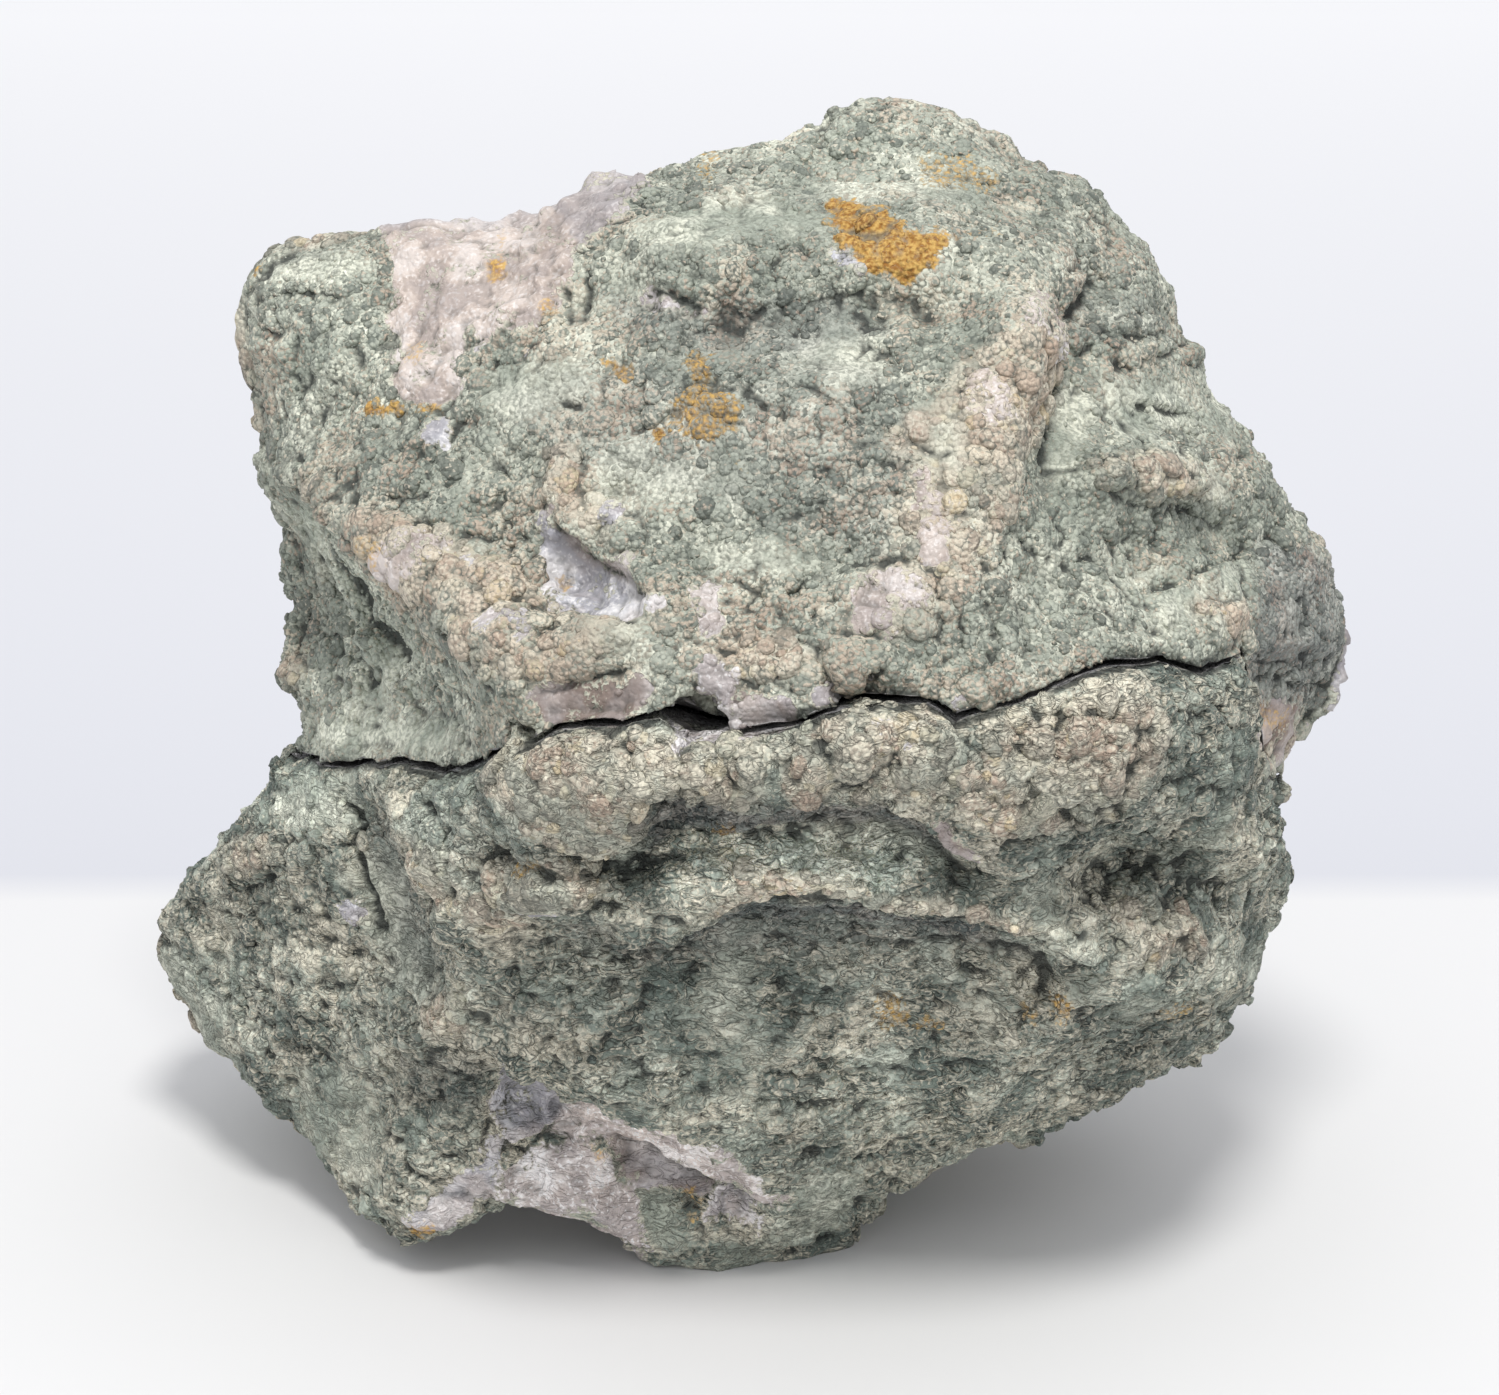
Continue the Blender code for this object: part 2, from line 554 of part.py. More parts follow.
def stone_half(name, whole, side, rind, placing):
    """One half: the whole stone without what lies across the fracture, less its pockets."""
    half = finished(whole.copy(), name, placing)
    half.data.materials.append(rind_material(*rind))
    add_cut(half, fracture_block(name + "_fracture_block", -side, placing))
    for number, pocket in enumerate(POCKETS[name]):
        add_cut(half, pocket_cutter(f"{name}_pocket_{number}", placing, *pocket))
    keep_largest_body(half)
    half.data.shade_smooth()
    half.data.set_sharp_from_angle(angle=math.radians(40.0))
    return half


clear_scene()
stone = stone_mesh()
to_real_place = real_placing(stone)
stone_half("upper_half", stone, 1, UPPER_RIND, to_real_place)
stone_half("lower_half", stone, -1, LOWER_RIND, to_real_place)
stone.free()
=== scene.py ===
"""The looks of a broken geode: its granular rind, pale quartz windows and ochre stains."""

import math
from collections import namedtuple
from itertools import product

import bpy
import numpy as np
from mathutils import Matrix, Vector
from mathutils.bvhtree import BVHTree
from mathutils.kdtree import KDTree


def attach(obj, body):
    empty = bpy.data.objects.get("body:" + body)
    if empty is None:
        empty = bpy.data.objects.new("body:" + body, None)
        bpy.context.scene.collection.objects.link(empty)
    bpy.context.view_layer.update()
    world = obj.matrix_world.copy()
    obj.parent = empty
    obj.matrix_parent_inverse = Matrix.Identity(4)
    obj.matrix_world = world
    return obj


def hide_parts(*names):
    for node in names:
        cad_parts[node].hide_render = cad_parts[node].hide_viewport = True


MM = 0.001

# The outside of a half: corners, triangles, 1 for each triangle of the fracture, and each corner's looks.
Surface = namedtuple("Surface", ["places", "triangles", "marks", "looks"])

# The view: the point looked at, how far off, how far above, and the picture it makes.
SIGHT = np.array([1.59, -1.74, 52.02])
SEEN_FROM = 420.2
SEEN_FROM_ABOVE = math.radians(20.0)
PICTURE_WIDTH = 1499
PICTURE_MIDDLE = np.array([749.5, 697.5])
PICTURE_SCALE = 4506.0
SENSOR_WIDTH = 36.0
CAMERA_REACH = (0.01, 20.0)

# Edge lengths of the finished meshes in millimetres, where the stone is seen, behind it and in the
# fracture.
FRONT_EDGE = {"upper_half": 0.54, "lower_half": 0.60}
BACK_EDGE = 1.2
BROKEN_EDGE = 2.0
EARLY_EDGE = 1.6
EARLY_ROUNDS = 3
MOST_ROUNDS = 10
COARSER = 1.0

# After which rounds of splitting the facets are rounded, and with how many passes.
ROUNDING_PASSES = {1: 5, 3: 3, 5: 3}

# Corners are made one when they round to the same of so many steps in a millimetre.
WELDS_PER_MM = 500.0

# How near the other half a triangle of the fracture lies, and how far from its rim counts.
FRACTURE_REACH = 0.62
RIM_REACH = 6.0

# Waves that bend both halves and the crack alike: size and reach.
WARP = [(5.0, 0.35), (2.2, 0.24), (1.1, 0.14)]

# Half of what opens the crack all along, and wider gaps: column, half width, opening.
OPENING = 0.09
GAPS = [
    (325, 26, 0.3), (420, 20, 0.25), (692, 30, 0.95), (1075, 60, 0.05), (1180, 40, 0.02), (955, 20, 0.1),
]

# How far relief may stand out, and how the lips of the crack are rounded: depth and reach.
HIGHEST_RELIEF = 2.6
LIP_DEPTH = 0.3
LIP_REACH = 0.7

# Corners below this height are on the flat spot, which stays flat, in millimetres.
FLAT_SPOT = 0.02

# Corners that stand out this far from the mean over so many rounds of neighbours are thorns:
# rounds, where drawing back starts, and where it is full.
THORNS = [(3, 0.6, 0.9), (1, 0.32, 0.6)]
DRAWN_BACK = 0.7

# How far apart points stand on the lines of LEVELS, and how loosely the skin follows them.
LEVEL_STEP = 18.0
LEVEL_EASE = 5.0

# How far a ledge and a furrow fade in from their ends, in picture points, and how round lumps are.
LEDGE_FADE = 26.0
FURROW_FADE = 12.0
LUMP_ROUNDNESS = 0.6

# How far the edges of outlines wander, in picture points, and how open the rind is over veiled quartz.
WANDER = 6.0
VEILED_SHARE = 0.54

# The floor's far edge, the width of its soft end, and how far the wall past it takes to turn from painted
# shade at its foot to painted light higher up, in metres.
FLOOR_END = 0.074
FLOOR_EDGE = 0.008
FLOOR_FADE = 0.5
FLOOR_REACH = 3.0
FLOOR_GREY = (0.745, 0.745, 0.745, 1.0)
# The wall's foot in painted shade and its top in painted light.
WALL_FOOT_SHADE = (0.62, 0.63, 0.67, 1.0)
WALL_TOP_LIGHT = (0.98, 0.98, 0.98, 1.0)

# Places in the picture are columns and rows.
# Pale quartz that shows through the rind: how pink, how white, how brown, and its outline.
QUARTZ = {
    "great window": (1.0, 0.28, 0.15, [
        (392, 262), (386, 240), (394, 214), (440, 205), (503, 205), (540, 205), (566, 228), (577, 256),
        (573, 283), (560, 308), (540, 330), (522, 320), (493, 337), (468, 334), (458, 360), (463, 386),
        (440, 408), (414, 402), (398, 380), (404, 350), (388, 318), (398, 290),
    ]),
    "striated rim": (0.35, 0.15, 0.35, [
        (528, 200), (563, 186), (583, 170), (607, 159), (632, 160), (648, 184), (637, 207), (623, 223),
        (607, 237), (587, 247), (573, 252), (574, 286), (553, 312), (530, 300),
    ]),
    "dot one": (0.0, 0.0, 0.0, [(469, 346), (477, 339), (485, 347), (478, 355)]),
    "dot two": (0.0, 0.0, 0.1, [(508, 344), (518, 341), (528, 352), (520, 360), (511, 355)]),
    "eye": (0.1, 0.35, 0.0, [(422, 432), (432, 419), (447, 421), (454, 434), (446, 449), (429, 449)]),
    "blue triangle": (0.05, 0.4, 0.0, [
        (548, 510), (557, 506), (565, 528), (580, 545), (605, 560), (640, 592), (662, 614), (632, 620),
        (600, 622), (562, 612), (541, 602), (539, 560),
    ]),
    "triangle flank": (0.6, 0.1, 0.65, [
        (553, 503), (566, 508), (600, 545), (630, 570), (634, 578), (612, 566), (578, 543),
    ]),
    "over the ledge": (0.1, 0.2, 0.0, [(597, 505), (612, 500), (628, 512), (620, 526), (602, 522)]),
    "white lump": (0.8, 0.3, 0.35, [
        (398, 560), (412, 540), (440, 533), (455, 548), (444, 575), (420, 590), (402, 580),
    ]),
    "lilac core": (0.1, 0.3, 0.0, [
        (474, 620), (500, 612), (530, 622), (548, 640), (520, 650), (495, 645),
    ]),
    "small one": (0.1, 0.1, 0.0, [(466, 565), (478, 558), (488, 568), (480, 578)]),
    "band at the crack": (0.35, 0.15, 0.9, [
        (537, 700), (548, 686), (580, 678), (592, 672), (620, 690), (640, 676), (648, 690), (640, 712),
        (612, 726), (560, 724), (540, 720),
    ]),
    "mouth crystals": (0.15, 0.85, 0.0, [
        (690, 668), (706, 660), (722, 664), (738, 680), (742, 700), (736, 724), (727, 718), (728, 697),
        (720, 686), (700, 688),
    ]),
    "mouth flank": (0.3, 0.2, 0.85, [
        (740, 690), (760, 700), (790, 706), (796, 716), (768, 726), (742, 722),
    ]),
    "fan": (0.75, 0.3, 0.3, [
        (868, 575), (905, 563), (932, 580), (922, 602), (902, 618), (892, 640), (880, 652), (860, 650),
        (852, 632), (850, 602),
    ]),
    "pocket flank": (0.0, 0.05, 0.2, [
        (818, 698), (826, 686), (850, 678), (872, 674), (868, 690), (846, 700),
    ]),
    "small flame": (0.4, 0.2, 0.2, [
        (698, 592), (710, 576), (726, 592), (724, 625), (714, 650), (700, 640), (696, 612),
    ]),
    "column": (0.9, 0.2, 0.4, [
        (914, 484), (922, 474), (934, 500), (950, 492), (956, 520), (948, 556), (926, 560), (916, 520),
    ]),
    "blue heel": (0.0, 0.0, 0.1, [(916, 545), (935, 540), (950, 552), (944, 566), (922, 562)]),
    "lump on the right": (1.0, 0.25, 0.25, [
        (962, 392), (980, 376), (1002, 384), (1010, 402), (1004, 420), (985, 434), (964, 420),
    ]),
    "lump at the crease": (1.0, 0.3, 0.25, [
        (1022, 312), (1038, 303), (1058, 312), (1062, 328), (1046, 342), (1026, 338),
    ]),
    "crease lilac": (0.1, 0.2, 0.1, [(1048, 344), (1060, 340), (1064, 356), (1052, 366)]),
    "chip by the ochre": (0.0, 0.15, 0.1, [(835, 256), (860, 252), (866, 270), (845, 274)]),
    "slot lip": (0.6, 0.4, 0.2, [
        (636, 292), (664, 288), (700, 300), (716, 304), (690, 306), (650, 300),
    ]),
    "under the mouth": (0.25, 0.85, 0.0, [
        (672, 728), (694, 726), (722, 724), (742, 726), (756, 734), (740, 744), (700, 742), (680, 750),
    ]),
    "under the mouth left": (0.0, 0.2, 0.1, [(672, 718), (692, 716), (694, 728), (676, 746)]),
    "ledge dots": (0.1, 0.4, 0.0, [(866, 726), (878, 722), (884, 736), (872, 744)]),
    "ledge dot two": (0.0, 0.2, 0.1, [(896, 738), (908, 736), (908, 748), (898, 750)]),
    "slope by the crack": (0.0, 0.05, 0.2, [
        (940, 700), (956, 694), (972, 702), (960, 712), (944, 710),
    ]),
    "chip on the ledge": (0.2, 0.0, 0.85, [
        (936, 798), (952, 800), (972, 820), (978, 838), (962, 836), (944, 816),
    ]),
    "lump foot": (0.0, 0.05, 0.2, [(514, 906), (536, 902), (554, 912), (540, 922), (520, 918)]),
    "arch window": (0.0, 0.25, 0.1, [
        (499, 1068), (523, 1074), (545, 1086), (572, 1096), (580, 1110), (574, 1128), (540, 1142),
        (506, 1142), (496, 1128), (504, 1100),
    ]),
    "arch body": (0.7, 0.65, 0.2, [
        (574, 1096), (597, 1100), (613, 1110), (627, 1118), (663, 1120), (687, 1130), (730, 1150),
        (790, 1196), (776, 1206), (728, 1200), (700, 1188), (660, 1162), (616, 1150), (590, 1158),
        (540, 1150), (570, 1126),
    ]),
    "arch floor": (0.6, 0.9, 0.1, [
        (500, 1172), (540, 1152), (580, 1154), (612, 1160), (622, 1186), (640, 1212), (652, 1246),
        (630, 1236), (600, 1214), (540, 1196), (488, 1186),
    ]),
    "second arch": (0.1, 0.0, 0.8, [
        (614, 1152), (650, 1160), (684, 1184), (706, 1202), (696, 1214), (668, 1194), (640, 1192),
        (622, 1180),
    ]),
    "arch arm": (0.1, 0.25, 0.15, [
        (500, 1142), (502, 1176), (462, 1200), (430, 1222), (410, 1222), (424, 1196), (450, 1172),
        (470, 1154),
    ]),
    "arch crystals": (0.1, 1.0, 0.0, [(562, 1164), (580, 1156), (597, 1162), (594, 1174), (568, 1174)]),
    "foot of the arch": (0.3, 0.7, 0.2, [
        (700, 1208), (722, 1200), (760, 1206), (756, 1226), (716, 1236), (700, 1226),
    ]),
    "wedge crystal": (0.0, 0.4, 0.0, [(340, 906), (350, 902), (354, 912), (346, 918)]),
    "right underside": (0.9, 0.0, 1.0, [
        (1254, 706), (1300, 704), (1304, 722), (1290, 748), (1272, 764), (1258, 740),
    ]),
}

# Quartz that the rind half covers.
VEILED = {
    "lump on the right", "lump at the crease", "column", "fan", "white lump", "lilac core", "small one",
    "over the ledge", "dot one", "dot two", "small flame", "ledge dots",
    "ledge dot two", "chip by the ochre", "slope by the crack", "crease lilac", "slot lip",
}

# Where the rind is nodular, cream to pinkish brown.
NODULAR = {
    "upper left ridge": [
        (290, 455), (330, 475), (395, 520), (455, 530), (480, 555), (535, 565), (545, 610), (610, 625),
        (640, 610), (642, 640), (600, 670), (530, 688), (480, 660), (450, 620), (395, 590), (385, 560),
        (340, 520),
    ],
    "below the triangle": [
        (470, 600), (545, 605), (640, 622), (640, 650), (590, 680), (530, 690), (480, 650),
    ],
    "triangle top": [(540, 450), (572, 448), (600, 500), (630, 560), (575, 520), (545, 500)],
    "right of the slope": [
        (880, 440), (930, 400), (960, 360), (1000, 340), (1062, 330), (1066, 400), (1030, 470),
        (1000, 530), (960, 600), (880, 660), (840, 660), (870, 570), (905, 500),
    ],
    "lobe row": [
        (1095, 462), (1130, 455), (1170, 458), (1215, 480), (1220, 500), (1165, 500), (1100, 485),
    ],
    "lower left lump": [
        (500, 742), (535, 722), (610, 724), (648, 740), (655, 775), (640, 830), (600, 845), (550, 832),
        (505, 790),
    ],
    "second lump": [(492, 862), (545, 845), (602, 858), (608, 890), (560, 915), (495, 905)],
    "left foot lumps": [(480, 890), (520, 900), (530, 940), (500, 960), (480, 930)],
    "mouth sill": [(640, 735), (760, 735), (770, 780), (740, 800), (680, 776), (650, 780)],
    "ledge": [(760, 740), (830, 705), (930, 705), (960, 720), (950, 790), (880, 780), (800, 790)],
    "pale ledge": [
        (960, 760), (1020, 715), (1140, 705), (1150, 750), (1110, 810), (1000, 830), (960, 800),
    ],
    "ridge": [
        (700, 835), (740, 850), (790, 880), (900, 890), (1000, 912), (1100, 950), (1000, 930),
        (880, 905), (780, 900), (690, 925), (660, 930), (690, 900), (740, 890),
    ],
    "right of the hollow": [(1100, 905), (1190, 905), (1200, 950), (1110, 965)],
    "right lobe end": [(1262, 700), (1302, 705), (1300, 745), (1272, 772), (1258, 735)],
    "pink tongue": [(1187, 606), (1240, 604), (1246, 640), (1190, 642)],
    "over the crack": [
        (640, 620), (700, 640), (800, 640), (868, 660), (892, 640), (890, 672), (800, 690), (740, 680),
    ],
    "band on the wedge": [(420, 830), (470, 850), (480, 900), (440, 920), (425, 870)],
    "low lumps": [(425, 1000), (470, 985), (480, 1030), (440, 1045)],
    "nodule on the wedge": [
        (228, 850), (245, 836), (275, 834), (290, 844), (286, 862), (262, 872), (238, 880), (228, 866),
    ],
    "left end": [(262, 655), (292, 640), (300, 690), (275, 705)],
}

# Rusty stains: strength and outline.
OCHRE = {
    "great stain": (1.0, [
        (832, 200), (852, 195), (886, 214), (905, 236), (946, 241), (944, 254), (928, 278), (900, 284),
        (878, 276), (862, 262), (846, 244), (835, 222),
    ]),
    "faint crown": (0.4, [(918, 158), (965, 152), (1002, 178), (985, 192), (925, 186)]),
    "cream row": (0.25, [(945, 238), (1000, 232), (1002, 244), (950, 248)]),
    "middle stain": (0.54, [
        (690, 345), (704, 350), (716, 390), (742, 408), (736, 430), (700, 442), (668, 430), (664, 405),
        (686, 384),
    ]),
    "middle tip": (1.0, [(652, 432), (666, 430), (670, 444), (656, 448)]),
    "window left": (0.9, [(370, 404), (408, 406), (410, 416), (374, 417)]),
    "window right": (0.6, [(414, 406), (442, 404), (440, 416), (418, 418)]),
    "window low": (0.4, [(403, 343), (426, 342), (430, 366), (410, 372)]),
    "window mid": (0.75, [(486, 270), (505, 266), (508, 284), (488, 286)]),
    "window line": (0.4, [(495, 236), (506, 236), (506, 268), (497, 266)]),
    "rim spot": (0.35, [(694, 150), (716, 152), (714, 186), (700, 190)]),
    "rim edge": (0.45, [(543, 310), (562, 290), (568, 296), (552, 328)]),
    "triangle dot": (0.95, [(555, 576), (568, 573), (575, 586), (562, 593)]),
    "ridge spot": (0.5, [(390, 548), (404, 545), (408, 566), (394, 568)]),
    "brown dot": (0.75, [(598, 356), (620, 352), (637, 362), (628, 372), (606, 366)]),
    "nodule brown": (0.3, [(728, 466), (746, 462), (746, 478), (730, 480)]),
    "lump top": (0.5, [(510, 858), (548, 854), (552, 866), (516, 878)]),
    "hollow dot": (0.75, [(714, 812), (734, 811), (738, 827), (716, 829)]),
    "low stain": (0.5, [
        (866, 998), (892, 996), (904, 1008), (912, 1024), (940, 1026), (940, 1036), (880, 1030),
    ]),
    "low dot": (0.6, [(1018, 1006), (1030, 1004), (1038, 1014), (1022, 1018)]),
    "low red": (0.6, [(1050, 1002), (1068, 996), (1076, 1002), (1058, 1014)]),
    "hollow red": (0.5, [(955, 940), (968, 938), (966, 950), (956, 950)]),
    "foot left": (0.8, [(410, 1220), (430, 1214), (436, 1226), (414, 1236)]),
    "foot left low": (0.4, [(386, 1226), (406, 1230), (404, 1240), (388, 1238)]),
    "arch rim": (0.6, [(594, 1154), (608, 1156), (612, 1170), (600, 1172)]),
    "arch yellow": (0.45, [(676, 1196), (690, 1200), (702, 1226), (694, 1238), (680, 1216)]),
    "right underside": (0.4, [(1254, 706), (1290, 708), (1286, 738), (1262, 730)]),
    "low lobe": (0.35, [(1165, 1010), (1200, 1000), (1210, 1020), (1170, 1030)]),
}

# Where pale green dust lies smooth over the grains.
DUSTY = {
    "crease floor": [(1062, 378), (1096, 368), (1104, 400), (1086, 460), (1062, 500), (1050, 460)],
    "lobe": [(1096, 368), (1180, 380), (1200, 410), (1190, 440), (1120, 440), (1100, 410)],
    "shelf": [(1120, 560), (1180, 562), (1192, 580), (1150, 592), (1112, 590)],
    "tongue": [
        (1150, 604), (1180, 590), (1210, 575), (1245, 560), (1250, 600), (1190, 606), (1170, 650),
        (1150, 650),
    ],
    "left slab": [(270, 500), (308, 505), (326, 560), (326, 600), (292, 590)],
    "left foot": [(300, 715), (430, 715), (470, 745), (430, 760), (310, 750)],
    "shoulder": [(262, 812), (306, 764), (345, 780), (350, 830), (330, 836), (290, 830)],
    "root strip": [(346, 868), (390, 870), (400, 950), (372, 950)],
    "terrace": [
        (640, 232), (700, 205), (760, 190), (830, 215), (838, 250), (780, 246), (720, 262), (650, 262),
    ],
    "foot": [(628, 1186), (668, 1186), (700, 1262), (660, 1250), (622, 1226)],
    "under the window": [(475, 370), (520, 360), (590, 352), (596, 400), (540, 425), (480, 415)],
    "slope middle": [(650, 340), (690, 350), (680, 380), (656, 384)],
    "slope low": [(700, 540), (800, 545), (830, 560), (820, 575), (720, 570)],
    "left top": [(262, 258), (360, 252), (372, 272), (330, 285), (268, 280)],
    "wedge low": [(290, 1066), (318, 1060), (330, 1130), (300, 1130)],
    "wedge side": [
        (150, 930), (190, 960), (240, 1050), (290, 1130), (330, 1190), (290, 1190), (200, 1080),
        (140, 960),
    ],
    "valley wall": [(330, 850), (360, 850), (400, 930), (430, 1000), (400, 1000), (356, 930)],
    "wedge left": [(196, 990), (225, 985), (235, 1026), (205, 1030)],
}

# Hollows that are streaked sideways, in the lower half.
STREAKED = {
    "second hollow": [
        (480, 930), (640, 935), (800, 905), (1000, 935), (1100, 975), (1040, 1010), (900, 1000),
        (700, 985), (560, 990),
    ],
    "under the crest": [(1000, 1050), (1090, 1000), (1240, 975), (1200, 1050), (1060, 1090)],
    "left recess": [(395, 1050), (440, 1040), (500, 1050), (490, 1075), (400, 1100)],
    "lobe end": [(1250, 655), (1340, 650), (1320, 705), (1256, 705)],
    "low face": [(700, 1060), (1000, 1060), (960, 1140), (800, 1180)],
}

# How much paler or darker the rind is than elsewhere, and where: painted shade under the sill, lumps
# and crest and in the hollows, recesses and valley, painted light on the hollow floor, the left face and
# the arch, and the rind's own paler and darker stretches.
PAINTED_SHADE_AND_TONE = {
    "sill": (-0.12, [
        (500, 735), (640, 725), (900, 710), (960, 740), (950, 790), (640, 775), (600, 840), (510, 830),
    ]),
    "ridge": (0.5, [
        (640, 915), (700, 890), (760, 868), (840, 870), (900, 888), (1000, 900), (1110, 955),
        (1100, 975), (960, 912), (840, 896), (760, 896), (680, 930),
    ]),
    "crest": (0.35, [(1010, 1030), (1084, 985), (1240, 965), (1240, 985), (1090, 1005), (1030, 1050)]),
    "hollow floor": (2.2, [
        (662, 842), (740, 828), (860, 832), (932, 862), (886, 886), (760, 874), (670, 900),
    ]),
    "sides of the body": (0.2, [(400, 800), (480, 820), (500, 1000), (440, 1040), (430, 900)]),
    "low middle": (0.25, [(640, 1000), (860, 990), (960, 1060), (900, 1120), (740, 1120), (640, 1080)]),
    "left face": (0.6, [
        (280, 500), (330, 510), (400, 600), (480, 700), (440, 745), (310, 745), (296, 690), (320, 620),
    ]),
    "terrace foot": (-0.3, [(600, 290), (700, 300), (850, 290), (880, 320), (800, 350), (640, 330)]),
    "right of the crease": (-0.15, [(1070, 250), (1150, 300), (1160, 340), (1080, 340)]),
    "lobe flank": (0.05, [
        (1060, 440), (1150, 510), (1240, 540), (1120, 600), (1030, 640), (1030, 520),
    ]),
    "slope specks": (-0.15, [
        (500, 400), (700, 330), (850, 350), (930, 420), (880, 560), (640, 480), (560, 460),
    ]),
    "lobe right": (-0.55, [(1256, 540), (1345, 560), (1345, 660), (1250, 660)]),
    "lobe end": (-0.5, [(1250, 650), (1345, 650), (1320, 710), (1250, 710)]),
    "under the sill": (-1.1, [
        (640, 800), (700, 784), (800, 792), (890, 788), (950, 826), (940, 852), (890, 826), (800, 828),
        (700, 820), (650, 840),
    ]),
    "ledge on the right": (-0.3, [(960, 745), (1020, 718), (1140, 710), (1140, 790), (1000, 830)]),
    "lower face": (0.35, [(820, 1040), (1060, 1035), (1080, 1110), (1000, 1170), (840, 1180)]),
    "arch": (0.4, [(574, 1096), (663, 1120), (790, 1196), (720, 1212), (640, 1200), (590, 1158)]),
    "second arch": (-1.1, [
        (614, 1152), (650, 1160), (706, 1200), (696, 1214), (640, 1192), (620, 1180),
    ]),
    "under the lumps": (-0.5, [
        (500, 850), (560, 852), (620, 846), (650, 815), (655, 840), (610, 866), (500, 866),
    ]),
    "top of the second hollow": (-0.5, [
        (640, 935), (740, 905), (840, 903), (960, 925), (1000, 950), (840, 935), (740, 935), (640, 960),
    ]),
    "second hollow": (-0.6, [
        (500, 940), (640, 940), (740, 910), (840, 905), (1000, 940), (1080, 985), (900, 970),
        (640, 985),
    ]),
    "right hollow": (-0.25, [(1084, 840), (1150, 830), (1230, 860), (1220, 900), (1090, 890)]),
    "valley": (-0.5, [(340, 800), (370, 800), (420, 900), (450, 980), (400, 980), (370, 900)]),
    "left recess": (-0.5, [(390, 1050), (500, 1050), (500, 1130), (400, 1110)]),
    "under the crest": (-0.2, [(1000, 1060), (1090, 1010), (1250, 985), (1200, 1050), (1060, 1100)]),
    "blue triangle": (0.1, [(548, 510), (580, 545), (640, 592), (662, 614), (562, 612), (541, 602)]),
    "left block": (0.3, [(250, 270), (370, 260), (400, 420), (280, 430)]),
    "foot": (0.4, [(628, 1186), (668, 1186), (720, 1262), (660, 1260), (622, 1226)]),
    "crown": (0.3, [(760, 120), (900, 110), (980, 160), (900, 190), (760, 180)]),
    "terrace": (0.1, [(640, 225), (760, 190), (840, 230), (800, 250), (660, 258)]),
    "shoulder": (0.95, [(255, 815), (306, 764), (345, 780), (350, 835), (290, 835)]),
    "lobe": (0.15, [(1080, 350), (1180, 370), (1210, 430), (1090, 440)]),
    "low foot": (0.2, [(480, 1050), (760, 1060), (780, 1200), (700, 1250), (500, 1200)]),
    "tongue": (0.2, [(1120, 560), (1250, 560), (1250, 650), (1150, 650)]),
}

